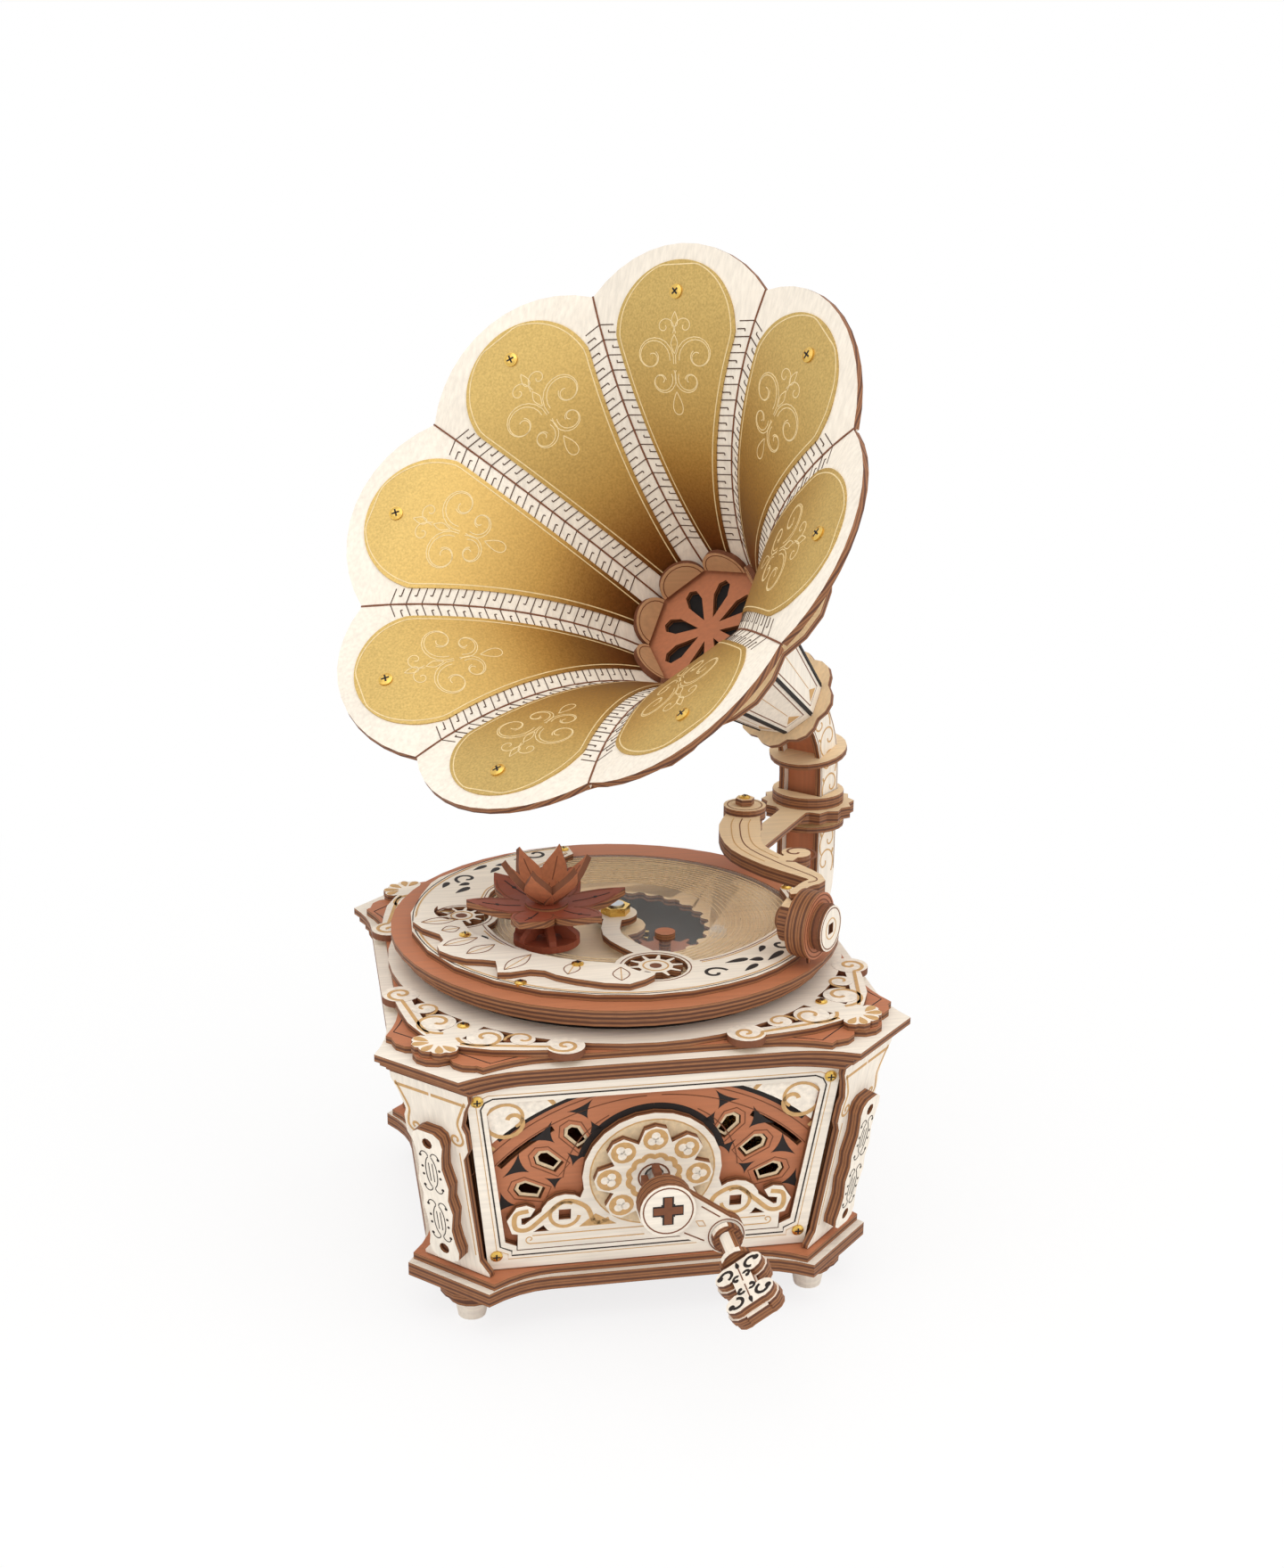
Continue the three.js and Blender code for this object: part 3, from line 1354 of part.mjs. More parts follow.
function neck() {
  const steps = 8;
  const bendAlong = neckReach - neckBend;
  const frames = [neckFrame(cornerFoot - neckHalf, neckFootLevel - neckFootBend, -rightAngle)];
  for (let i = 0; i <= steps; i++) {
    const lean = -rightAngle * (1 - i / steps);
    frames.push(neckFrame(neckReach - neckFootBend, neckFootLevel, lean, neckFootBend));
  }
  const sweep = leanAtStem() + (neckDepthHalf * 2) / neckBend; // past the stem, and cut square to it
  for (let i = 0; i <= steps; i++) {
    frames.push(neckFrame(bendAlong, neckBendStart, (sweep * i) / steps, neckBend));
  }
  const collar = disc(neckCollar, collarBottom).translate(...inPlane(neckReach, 0));
  const ringFrame = neckFrame(bendAlong, neckBendStart, neckRingLean, neckBend);
  const ringBack = sideways.clone().cross(ringFrame.up).multiplyScalar(-ply).add(ringFrame.centre);
  const ring = loft(circlePoints(neckRing), [ringFrame, { ...ringFrame, centre: ringBack }]);
  horn.updateMatrixWorld();
  const stemCut = blockAbove(-stemBack - gap).applyMatrix4(horn.matrixWorld);
  const pilasterCut = new THREE.BoxGeometry(farAway, cornerSlant * 2, farAway);
  pilasterCut.translate(0, 0, ply + gap - farAway / 2).applyMatrix4(cornerMatrix).rotateZ(Math.PI);
  add("neck", trimmed(joined(loft(neckSection(), frames), collar, ring), stemCut, pilasterCut), cream);
}

function bracket() {
  const centre = inPlane(neckReach, 0);
  const toothed = wavyOutline(bracketTeeth * 2, (angle) => {
    const tooth = Math.round((angle * bracketTeeth * 2) / fullTurn) % 2;
    return bracketRadius + tooth * bracketTooth;
  });
  const spurBottom = bracketBottom + ply;
  const postTop = armUnderside - ply - gap;
  const pinTop = armUnderside + ply * 3 + gap;
  const whole = joined(
    sheet(toothed, bracketBottom, bracketHeight / 2).translate(...centre),
    disc(bracketTop, bracketBottom, bracketHeight).translate(...centre),
    sheet(strip([at(centre.x, centre.y), at(pivotX, pivotY)], spurWidth, 1), spurBottom),
    disc(postRadius, spurBottom, postTop - spurBottom, 16, pivotX, pivotY),
    disc(pivotPin, spurBottom, pinTop - spurBottom, 12, pivotX, pivotY),
    disc(postRadius, pinTop, ply, 6, pivotX, pivotY),
  );
  const hole = sheet(rectangle(neckDepthHalf + gap, neckHalf + gap), 0, farAway).rotateZ(rightAngle / 2);
  add("arm_bracket", trimmed(whole, hole.translate(...centre)), tan);
}

// Tone arm and sound box
const needleSpot = polar(needleReach, needleAngle);
const outwards = polar(1, needleAngle);
const onwards = at(-outwards.y, outwards.x);
const bearingFace = -shieldHalf - runningGap; // the bearing's outer face, from the sound box's middle
const bearingMiddle = needleSpot.clone().addScaledVector(outwards, bearingFace - bearingDepth / 2);

// A disc square to the sound box's axle, between two distances outwards from its middle.
function axleDisc(radius, near, far, sides = 24) {
  const flat = sheet(circle(radius, sides, 0, 0, Math.PI / sides), near, far - near).rotateY(rightAngle);
  return flat.rotateZ(needleAngle).translate(needleSpot.x, needleSpot.y, soundBoxMiddle);
}

function toneArm() {
  const pivot = at(pivotX, pivotY);
  const reach = needleSpot.clone().sub(pivot);
  const side = at(-reach.y, reach.x);
  const onArm = (along, across) => pivot.clone().addScaledVector(reach, along).addScaledVector(side, across);
  const line = [
    pivot,
    onArm(0.2, -0.07),
    onArm(0.42, -0.1),
    onArm(0.62, -0.03),
    bearingMiddle.clone().addScaledVector(onwards, shieldRadius * 1.45),
    bearingMiddle.clone().addScaledVector(onwards, shieldRadius * 0.75),
    bearingMiddle,
  ];
  const widthShares = [1, 1.4, 1.15, 1, 0.55, 0.36, 0.3];
  const curlSpot = onArm(0.53, 0.075);
  const arm = joined(
    sheet(strip(line, armWidth, 20, widthShares), armUnderside, ply * 2),
    disc(armCurl, armUnderside, ply * 2, 18, curlSpot.x, curlSpot.y),
    sheet(strip([onArm(0.62, 0), curlSpot], armCurl, 1), armUnderside, ply * 2),
    disc(pivotSeat, armUnderside - ply, ply * 2, 20, pivotX, pivotY),
    disc(pivotDisc, armUnderside + ply, ply * 2, 20, pivotX, pivotY),
    axleDisc(bearingDisc, bearingFace - bearingDepth, bearingFace),
  );
  const axleHole = axleDisc(boxAxle + gap, bearingFace - bearingDepth * 2, bearingFace + bearingDepth, 12);
  add("tone_arm", trimmed(arm, disc(pivotPin + gap, 0, farAway, 12, pivotX, pivotY), axleHole), cream);
}

function soundBox() {
  const keeper = bearingFace - bearingDepth - gap;
  const tip = recordBottom + ply + gap;
  const top = soundBoxMiddle - shieldRadius * 0.8;
  const needle = new THREE.CylinderGeometry(needleRoot, needleTip, top - tip, 10);
  needle.rotateX(rightAngle).translate(needleSpot.x, needleSpot.y, (top + tip) / 2);
  const square = new THREE.BoxGeometry(capDepth * 2, capHole * 2, capHole * 2);
  square.translate(shieldHalf + capDepth, 0, 0).rotateZ(needleAngle);
  square.translate(needleSpot.x, needleSpot.y, soundBoxMiddle);
  const whole = joined(
    axleDisc(shieldRadius, -shieldHalf, shieldHalf, 32),
    axleDisc(capRadius, 0, shieldHalf + capDepth),
    axleDisc(boxAxle, keeper - ply / 2, 0, 12),
    axleDisc(boxAxle * 2, keeper - ply, keeper, 12),
    needle,
  );
  add("sound_box", trimmed(whole, square), terracotta);
}

base();
walls();
pilasters();
lid();
movement();
cylinder();
governor();
crankShaft();
crownGears();
spindle();
gears();
platter();
flower();
crank();
handle();
toneArm();
soundBox();
hornParts();
neck();
bracket();

export default music;
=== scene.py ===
from math import atan2, cos, degrees, hypot, pi, radians, sin, sqrt, tan
import bmesh
import bpy
from mathutils import Matrix, Vector


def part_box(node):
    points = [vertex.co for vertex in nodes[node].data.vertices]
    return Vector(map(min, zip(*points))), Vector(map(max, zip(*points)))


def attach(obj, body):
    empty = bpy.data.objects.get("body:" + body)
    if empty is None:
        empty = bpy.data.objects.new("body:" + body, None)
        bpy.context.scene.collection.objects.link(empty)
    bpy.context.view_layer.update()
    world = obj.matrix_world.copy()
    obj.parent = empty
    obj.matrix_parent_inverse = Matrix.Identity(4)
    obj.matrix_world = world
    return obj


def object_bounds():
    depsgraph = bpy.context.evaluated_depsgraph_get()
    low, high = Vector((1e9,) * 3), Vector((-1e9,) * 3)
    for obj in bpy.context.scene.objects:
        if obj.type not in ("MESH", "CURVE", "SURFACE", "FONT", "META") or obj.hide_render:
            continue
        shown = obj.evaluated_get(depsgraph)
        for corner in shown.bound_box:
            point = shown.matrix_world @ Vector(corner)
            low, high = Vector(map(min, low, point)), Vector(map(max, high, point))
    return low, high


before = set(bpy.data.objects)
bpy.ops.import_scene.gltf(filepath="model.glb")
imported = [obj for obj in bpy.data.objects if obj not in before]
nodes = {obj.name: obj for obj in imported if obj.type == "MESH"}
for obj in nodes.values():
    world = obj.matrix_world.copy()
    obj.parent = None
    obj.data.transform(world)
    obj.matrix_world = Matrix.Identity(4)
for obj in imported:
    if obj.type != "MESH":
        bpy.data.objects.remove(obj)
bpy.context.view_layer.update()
mm = 0.001
ply = 2.0  # sheet thickness in mm; every length below is in mm unless it says otherwise
upAxis = Vector((0, 0, 1))
print("frame loaded:", len(nodes), "nodes")


# Node trees
def addNode(tree, kind, inputs=None, **settings):
    made = tree.nodes.new(kind)
    for key, value in settings.items():
        setattr(made, key, value)
    for key, value in (inputs or {}).items():
        if isinstance(value, bpy.types.NodeSocket):
            tree.links.new(value, made.inputs[key])
        else:
            made.inputs[key].default_value = value
    return made


def put(tree, kind, inputs=None, output=0, **settings):
    return addNode(tree, kind, inputs, **settings).outputs[output]


def tint(red, green, blue):
    def linear(level):
        level /= 255
        return level / 12.92 if level <= 0.04045 else ((level + 0.055) / 1.055) ** 2.4
    return (linear(red), linear(green), linear(blue), 1)


def shaded(colour, share):
    return tuple(min(1, part * share) for part in colour[:3]) + (1,)


def ramp(tree, factor, stops):
    made = addNode(tree, "ShaderNodeValToRGB", {"Fac": factor})
    steps = made.color_ramp.elements
    steps[0].position, steps[0].color = stops[0]
    steps[1].position, steps[1].color = stops[-1]
    for place, colour in stops[1:-1]:
        steps.new(place).color = colour
    return made.outputs["Color"]


def blend(tree, factor, first, second):
    return put(tree, "ShaderNodeMix", {0: factor, 6: first, 7: second}, 2, data_type="RGBA")


def maths(tree, operation, first, second=0.0, third=0.0):
    return put(tree, "ShaderNodeMath", {0: first, 1: second, 2: third}, operation=operation)


def times(tree, first, second):
    return maths(tree, "MULTIPLY", first, second)


def vectors(tree, operation, first, second=(0, 0, 0)):
    output = "Value" if operation in ("DOT_PRODUCT", "LENGTH") else "Vector"
    return put(tree, "ShaderNodeVectorMath", {0: first, 1: second}, output, operation=operation)


def along(tree, vector, axis):
    return vectors(tree, "DOT_PRODUCT", vector, tuple(axis))


def noise(tree, place, scale, detail=3):
    return put(tree, "ShaderNodeTexNoise", {"Vector": place, "Scale": scale, "Detail": detail}, "Fac")


def emptyTree(owner):
    owner.use_nodes = True
    owner.node_tree.nodes.clear()
    return owner.node_tree


def newMaterial(name, **fixed):
    material = bpy.data.materials.new(name)
    tree = emptyTree(material)
    shader = addNode(tree, "ShaderNodeBsdfPrincipled", fixed)
    addNode(tree, "ShaderNodeOutputMaterial", {"Surface": shader.outputs[0]})
    return material, tree, shader, put(tree, "ShaderNodeTexCoord", output="Object")


def feed(tree, shader, colour, roughness, height=None, strength=0.0, depth=0.0):
    tree.links.new(colour, shader.inputs["Base Color"])
    tree.links.new(roughness, shader.inputs["Roughness"])
    if height is not None:
        bump = put(tree, "ShaderNodeBump", {"Strength": strength, "Distance": depth, "Height": height})
        tree.links.new(bump, shader.inputs["Normal"])


# Laser-cut plywood: a grained face, and an edge burnt in plies
paint = {
    "cream": tint(245, 235, 220),
    "tan": tint(236, 208, 168),
    "terracotta": tint(188, 117, 79),
    "redBrown": tint(150, 72, 44),
    "burnt": tint(92, 52, 30),
    "singed": tint(163, 108, 66),
    "engraved": tint(205, 163, 108),
    "inkLine": tint(44, 32, 28),
    "paleTan": tint(229, 205, 168),
    # a brightened copy of tan for the deck: painted light that offsets the shade under the clear record
    "litDeckTan": tint(250, 224, 184),
    "goldLine": tint(236, 212, 160),
    "lobeWood": tint(206, 162, 120),
}
grain = {"along": 40, "across": 950, "cloud": 26, "streaks": 420, "fibreShare": 0.6, "streakShare": 0.55,
         "darkShare": 0.84, "lightShare": 1.05, "dull": 0.25, "roughness": 0.5, "strength": 0.4, "depth": 0.00005}
plyStops = ((0, "burnt"), (0.1, "singed"), (0.3, "singed"), (0.36, "burnt"), (0.62, "burnt"), (0.68, "singed"),
            (0.9, "singed"), (1, "burnt"))  # shares of a sheet's thickness


def woodFace(tree, place, colour, grainAxis=0):
    scale = [grain["across"]] * 3
    scale[grainAxis] = grain["along"]
    fibres = noise(tree, put(tree, "ShaderNodeMapping", {"Vector": place, "Scale": scale}), 1, 4)
    cloud = times(tree, noise(tree, place, grain["cloud"]), 1 - grain["fibreShare"])
    both = maths(tree, "MULTIPLY_ADD", fibres, grain["fibreShare"], cloud)
    stops = [(0.34, shaded(colour, grain["darkShare"])), (0.66, shaded(colour, grain["lightShare"]))]
    return ramp(tree, both, stops), fibres


def plyStripes(tree, place, axis, base):
    level = maths(tree, "DIVIDE", along(tree, place, axis), ply * mm)
    share = maths(tree, "FRACT", maths(tree, "SUBTRACT", level, base / ply))
    stripes = ramp(tree, share, [(stop, paint[colour]) for stop, colour in plyStops])
    streaks = times(tree, noise(tree, place, grain["streaks"]), grain["streakShare"])
    return blend(tree, streaks, stripes, paint["burnt"])


def edgeOn(tree, facing, axis, limit=0.8):  # 1 on the sides of a sheet, 0 on the faces that look along its axis
    return maths(tree, "LESS_THAN", maths(tree, "ABSOLUTE", along(tree, facing, axis)), limit)


def plywood(name, colour, axis=(0, 0, 1), base=0, layers=(), grainAxis=0, edgeMask=None, faceLimit=0.8, patches=()):
    material, tree, shader, place = newMaterial(name)
    facing = put(tree, "ShaderNodeTexCoord", output="Normal")
    face, fibres = woodFace(tree, place, colour, grainAxis)
    for limit, lower in layers:  # below this level along the axis the face has another colour
        below = maths(tree, "LESS_THAN", along(tree, place, axis), limit * mm)
        face = blend(tree, below, face, woodFace(tree, place, lower, grainAxis)[0])
    mask = edgeMask(tree, place, facing) if edgeMask else edgeOn(tree, facing, axis, faceLimit)
    face = blend(tree, mask, face, plyStripes(tree, place, axis, base))
    for patch in patches:
        face = patch(tree, place, facing, face)
    rough = maths(tree, "MULTIPLY_ADD", fibres, grain["dull"], grain["roughness"])
    feed(tree, shader, face, rough, fibres, grain["strength"], grain["depth"])
    return material


# Speckled materials: metals, and the lines and inlays of the ornament
metalLook = {"scale": 1500, "dark": 0.9, "light": 1.06, "spread": 0.18, "strength": 0.3, "depth": 0.00003}
lineLook = {"scale": 700, "dark": 0.85, "light": 1.08, "spread": 0.2}


def speckled(name, colour, roughness, look, **fixed):
    material, tree, shader, place = newMaterial(name, **fixed)
    speckle = noise(tree, place, look["scale"])
    shade = ramp(tree, speckle, [(0.3, shaded(colour, look["dark"])), (0.7, shaded(colour, look["light"]))])
    rough = maths(tree, "MULTIPLY_ADD", speckle, look["spread"], roughness)
    bump = (speckle, look["strength"], look["depth"]) if "depth" in look else ()
    feed(tree, shader, shade, rough, *bump)
    return material


def lineMaterial(name, colour, roughness=0.65):
    return speckled(name, colour, roughness, lineLook)


brass = speckled("brass", tint(226, 186, 98), 0.16, metalLook, Metallic=1.0)
steel = speckled("steel", tint(190, 193, 196), 0.24, metalLook, Metallic=1.0)
engraved = lineMaterial("engravedLine", paint["engraved"])
inkLine = lineMaterial("inkLine", paint["inkLine"])
goldLine = lineMaterial("goldLine", paint["goldLine"], 0.4)
# near-black for openwork, cross holes, gaps, screw recesses and the band round the rosette boss: burnt cut walls
# together with painted shade in the openings, recesses and gaps
cutsAndPaintedShade = lineMaterial("cutsAndPaintedShade", tint(30, 20, 16))
singed = lineMaterial("singedWood", tint(120, 70, 42))
slitBurn = lineMaterial("slitBurn", tint(84, 60, 46))

# Frames of the walls, the corners and the horn
wall = {"foot": 55.5, "head": 64.4, "low": 6.0, "rise": 60.5, "footHalf": 45.0, "headHalf": 51.5, "side": 5.2,
        "footRail": 6.5, "headRail": 5.0, "notch": 3.2, "bossUp": 29.5, "cornerGap": 0.7}


def leaning(foot, head):  # a sheet's slant length, and its frame before it is turned to its side of the box
    tilt = atan2(head - foot, wall["rise"])
    matrix = Matrix.Translation((0, -foot, wall["low"])) @ Matrix.Rotation(pi / 2 + tilt, 4, "X")
    return hypot(head - foot, wall["rise"]), matrix


def cornerReach(half, reach):
    return (wall[half] + wall[reach] + ply) / sqrt(2) + wall["cornerGap"]


wallSlant, frontMatrix = leaning(wall["foot"], wall["head"])
cornerSlant, cornerMatrix = leaning(cornerReach("footHalf", "foot"), cornerReach("headHalf", "head"))
cornerMatrix = Matrix.Rotation(-pi / 4, 4, "Z") @ cornerMatrix
bossUp = wall["bossUp"] * wallSlant / wall["rise"]  # along the leaning wall, like every height on it
horn = {"centre": (-5.6, 12.7, 201.1), "azimuth": radians(-51.9), "elevation": radians(36.6), "roll": radians(118.5),
        "petals": 8, "notch": 82.8, "throat": 22.5, "depth": 66.0, "turn": radians(50), "rimFrom": 74.5}
mouthAxis = Vector((cos(horn["elevation"]) * sin(horn["azimuth"]), -cos(horn["elevation"]) * cos(horn["azimuth"]),
                    sin(horn["elevation"])))
mouthAcross = Vector((cos(horn["azimuth"]), sin(horn["azimuth"]), 0))
mouthUp = mouthAxis.cross(mouthAcross)
hornMatrix = Matrix.Translation(horn["centre"]) @ Matrix((mouthAcross, mouthUp, mouthAxis)).transposed().to_4x4()
sector = pi / horn["petals"]
bellArc = hypot(horn["notch"] - horn["throat"], horn["depth"]) / 2 / sin(horn["turn"] / 2)
rimSlope = atan2(horn["depth"], horn["notch"] - horn["throat"]) - horn["turn"] / 2
bellLength = bellArc * horn["turn"]  # along a seam, from a notch to the throat


def turned(matrix, quarter):
    return Matrix.Rotation(quarter * pi / 2, 4, "Z") @ matrix


def outwardOf(matrix):
    return matrix.to_3x3() @ upAxis


def flat(matrix, lift=0.0):
    return lambda x, y, z: (matrix @ Vector((x, y, z + lift))) * mm


def atHeight(height):
    return lambda x, y, z: Vector((x, y, z + height)) * mm


def spokes(angle):  # the directions away from an axis and round it
    return Vector((cos(angle), sin(angle), 0)), Vector((-sin(angle), cos(angle), 0))


def bellMiddle(distance):  # radius, depth and slope in the middle of a petal, at a distance from the notches
    if distance < 0:
        return horn["notch"] * cos(sector) - distance * cos(rimSlope), distance * sin(rimSlope), rimSlope
    slope = rimSlope + distance / bellArc
    radius = horn["notch"] - bellArc * (sin(slope) - sin(rimSlope))
    return radius * cos(sector), bellArc * (cos(rimSlope) - cos(slope)), slope


def onPetal(petal, seam=False):
    radial, tangent = spokes(horn["roll"] - 2 * sector * petal - (0 if seam else sector))

    def place(across, distance, lift):  # lift rises from the petal's inner face
        radius, depth, slope = bellMiddle(distance)
        radius /= cos(sector) if seam else 1
        up = radial * sin(slope) - upAxis * cos(slope)
        return (hornMatrix @ (radial * radius - upAxis * depth + tangent * across - up * lift)) * mm
    return place


goldLook = {
    # the ramp paints shade and warm reflection into the gold by depth: dark brown at the throat, bright at the rim
    "ramp": [(0, tint(96, 52, 26)), (0.25, tint(150, 102, 50)), (0.55, tint(192, 150, 80)), (1, tint(216, 184, 114))],
    "speckle": [(0.32, (0.74, 0.73, 0.7, 1)), (0.68, (1, 1, 1, 1))],
    "spread": 0.2, "roughness": 0.36, "strength": 0.35,
}


def goldFoilShadedToThroat():  # painted shade and warm reflection: darker and browner towards the throat, deeper in the bell, with a fine brushed speckle
    material, tree, shader, place = newMaterial("goldFoilShadedToThroat", Metallic=0.9)
    rim = Vector(horn["centre"]).dot(mouthAxis) * mm
    level, throat = along(tree, place, mouthAxis), rim - horn["depth"] * mm
    share = put(tree, "ShaderNodeMapRange", {"Value": level, "From Min": throat, "From Max": rim})
    speckle = noise(tree, place, metalLook["scale"])
    colour = vectors(tree, "MULTIPLY", ramp(tree, share, goldLook["ramp"]), ramp(tree, speckle, goldLook["speckle"]))
    rough = maths(tree, "MULTIPLY_ADD", speckle, goldLook["spread"], goldLook["roughness"])
    feed(tree, shader, colour, rough, speckle, goldLook["strength"], metalLook["depth"])
    return material


goldSheet = goldFoilShadedToThroat()


# Meshes of closed bodies: raised lines, flat plates and curved sheets
def newStore():
    return {"verts": [], "faces": [], "marks": []}


def addFaces(store, verts, faces, mark):
    start = len(store["verts"])
    store["verts"] += verts
    store["faces"] += [[start + i for i in face] for face in faces]
    store["marks"] += [mark] * len(faces)


def addLine(store, line, width, place, high=0.08, low=-0.1, closed=False, mark=0):
    count = len(line)
    verts, faces = [], []
    for i, (x, y) in enumerate(line):
        before = line[i - 1] if closed or i else line[i]
        after = line[(i + 1) % count] if closed or i + 1 < count else line[i]
        run, rise = after[0] - before[0], after[1] - before[1]
        size = hypot(run, rise) or 1
        sideX, sideY = -rise / size * width / 2, run / size * width / 2
        for side, height in ((-1, low), (1, low), (1, high), (-1, high)):
            verts.append(place(x + side * sideX, y + side * sideY, height))
    for i in range(count if closed else count - 1):
        here, there = i * 4, (i + 1) % count * 4
        faces += [[here + k, here + (k + 1) % 4, there + (k + 1) % 4, there + k] for k in range(4)]
    if not closed:
        faces += [[0, 1, 2, 3], [count * 4 - 1, count * 4 - 2, count * 4 - 3, count * 4 - 4]]
    addFaces(store, verts, faces, mark)


def addPlate(store, outline, place, high, low=-0.1, mark=0, edgeMark=None):
    count = len(outline)
    verts = [place(x, y, height) for height in (low, high) for x, y in outline]
    addFaces(store, verts, [list(range(count))[::-1], list(range(count, count * 2))]
             + [[i, (i + 1) % count, (i + 1) % count + count, i + count] for i in range(count)], mark)
    if edgeMark is not None:
        store["marks"][-count:] = [edgeMark] * count


def addSheet(store, rows, place, high, low, mark=0, edgeMark=None):
    wide, long = len(rows[0]), len(rows)
    start = len(store["verts"])

    def at(layer, i, j):
        return layer * wide * long + i * wide + j
    faces = []
    for i in range(long - 1):
        for j in range(wide - 1):
            faces.append([at(0, i, j), at(0, i, j + 1), at(0, i + 1, j + 1), at(0, i + 1, j)])
            faces.append([at(1, i, j), at(1, i + 1, j), at(1, i + 1, j + 1), at(1, i, j + 1)])
    addFaces(store, [place(x, y, height) for height in (low, high) for row in rows for x, y in row], faces, mark)
    rim = ([(0, j) for j in range(wide)] + [(i, wide - 1) for i in range(1, long)]
           + [(long - 1, j) for j in range(wide - 2, -1, -1)] + [(i, 0) for i in range(long - 2, 0, -1)])
    for (i, j), (k, l) in zip(rim, rim[1:] + rim[:1]):
        store["faces"].append([start + at(0, i, j), start + at(0, k, l), start + at(1, k, l), start + at(1, i, j)])
        store["marks"].append(mark if edgeMark is None else edgeMark)


class Pen:  # draws into a store, mirrored by the two signs and moved up by the height
    def __init__(self, store, sideways=1, upwards=1, height=0.0):
        self.store = store
        self.laid = lambda points: [(sideways * x, height + upwards * y) for x, y in points]

    def line(self, points, width, place, mark, **more):
        addLine(self.store, self.laid(points), width, place, mark=mark, **more)

    def loop(self, points, width, place, mark, **more):
        self.line(points, width, place, mark, closed=True, **more)

    def plate(self, points, place, high, mark, low=-0.1, edgeMark=None):
        addPlate(self.store, self.laid(points), place, high, low, mark, edgeMark)


def linked(name, data):
    made = bpy.data.objects.new(name, data)
    bpy.context.scene.collection.objects.link(made)
    return made


def newPiece(name, mesh, body, slotName):
    piece = linked(name, mesh)
    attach(piece, body)


def makePiece(name, store, materials, body, slotName):
    mesh = bpy.data.meshes.new(name)
    mesh.from_pydata(store["verts"], [], store["faces"])
    mesh.polygons.foreach_set("material_index", store["marks"])
    shape = bmesh.new()
    shape.from_mesh(mesh)
    bmesh.ops.recalc_face_normals(shape, faces=shape.faces)
    shape.to_mesh(mesh)
    shape.free()
    for material in materials:
        mesh.materials.append(material)
    newPiece(name, mesh, body, slotName)


# Ornament lines
def polar(radius, angle, x=0.0, y=0.0):
    return x + radius * cos(angle), y + radius * sin(angle)


def ring(radius, sides=32, x=0.0, y=0.0):
    return [polar(radius, 2 * pi * i / sides, x, y) for i in range(sides)]


def arc(radius, start, end, x=0.0, y=0.0, steps=24):
    return [polar(radius, radians(start + (end - start) * i / steps), x, y) for i in range(steps + 1)]


def scroll(start, centre, sweep, endRadius, steps=26):
    away = hypot(start[0] - centre[0], start[1] - centre[1])
    first = atan2(start[1] - centre[1], start[0] - centre[0])
    line = []
    for i in range(steps + 1):
        share = i / steps
        radius = endRadius + (away - endRadius) * (1 - share) ** 1.5
        line.append(polar(radius, first + radians(sweep) * share, *centre))
    return line


def smoothLine(points, steps=6):
    line = []
    padded = [points[0]] + list(points) + [points[-1]]
    for a, b, c, d in zip(padded, padded[1:], padded[2:], padded[3:]):
        for i in range(steps):
            t = i / steps
            line.append(tuple(0.5 * (2 * b[k] + (c[k] - a[k]) * t + (2 * a[k] - 5 * b[k] + 4 * c[k] - d[k]) * t * t
                                     + (3 * b[k] - a[k] - 3 * c[k] + d[k]) * t ** 3) for k in range(2)))
    return line + [tuple(points[-1])]


def mirrored(line):
    return [(-x, y) for x, y in line]


def rotated(points, angle, x=0.0, y=0.0):
    return [(x + u * cos(angle) - v * sin(angle), y + u * sin(angle) + v * cos(angle)) for u, v in points]


def teardrop(x, y, length, width, angle, steps=18):
    turns = [2 * pi * i / steps for i in range(steps)]
    drop = [(length * (0.5 - 0.5 * cos(t)), width / 2 * sin(t) * sin(t / 2) ** 1.2) for t in turns]
    return rotated(drop, angle, x, y)


def hollowTriangle(wide, tall, steps=24):  # its point looks back along x, or onwards where the sizes are negative
    turns = [2 * pi * (k + 0.5) / steps for k in range(steps)]
    return [(-tall * (2 * cos(t) + cos(2 * t)), wide * (2 * sin(t) - sin(2 * t))) for t in turns]


# Geometry Nodes
def newTree(name, inputs):
    tree = bpy.data.node_groups.new(name, "GeometryNodeTree")
    tree.interface.new_socket("Geometry", in_out="INPUT", socket_type="NodeSocketGeometry")
    tree.interface.new_socket("Geometry", in_out="OUTPUT", socket_type="NodeSocketGeometry")
    for label, kind in inputs.items():
        tree.interface.new_socket(label, in_out="INPUT", socket_type="NodeSocket" + kind)
    return tree, tree.nodes.new("NodeGroupInput").outputs


def closeTree(tree, geometry, material=None):
    if material is not None:
        geometry = coloured(tree, geometry, material)
    addNode(tree, "NodeGroupOutput", {0: put(tree, "GeometryNodeRealizeInstances", {0: geometry})})
    return tree


def grow(name, verts, edges, attributes, tree, values, body, slotName):
    mesh = bpy.data.meshes.new(name + "Points")
    mesh.from_pydata(verts, edges, [])
    for label, directions in attributes.items():
        layer = mesh.attributes.new(label, "FLOAT_VECTOR", "POINT")
        layer.data.foreach_set("vector", [part for direction in directions for part in direction])
    carrier = linked(name + "Carrier", mesh)
    modifier = carrier.modifiers.new("grow", "NODES")
    modifier.node_group = tree
    for item in tree.interface.items_tree:
        if item.in_out == "INPUT" and item.name in values:
            modifier[item.identifier] = values[item.name]
    graph = bpy.context.evaluated_depsgraph_get()
    grown = bpy.data.meshes.new_from_object(carrier.evaluated_get(graph))
    bpy.data.objects.remove(carrier)
    newPiece(name, grown, body, slotName)


def coloured(tree, geometry, material):
    return put(tree, "GeometryNodeSetMaterial", {"Geometry": geometry, "Material": material})


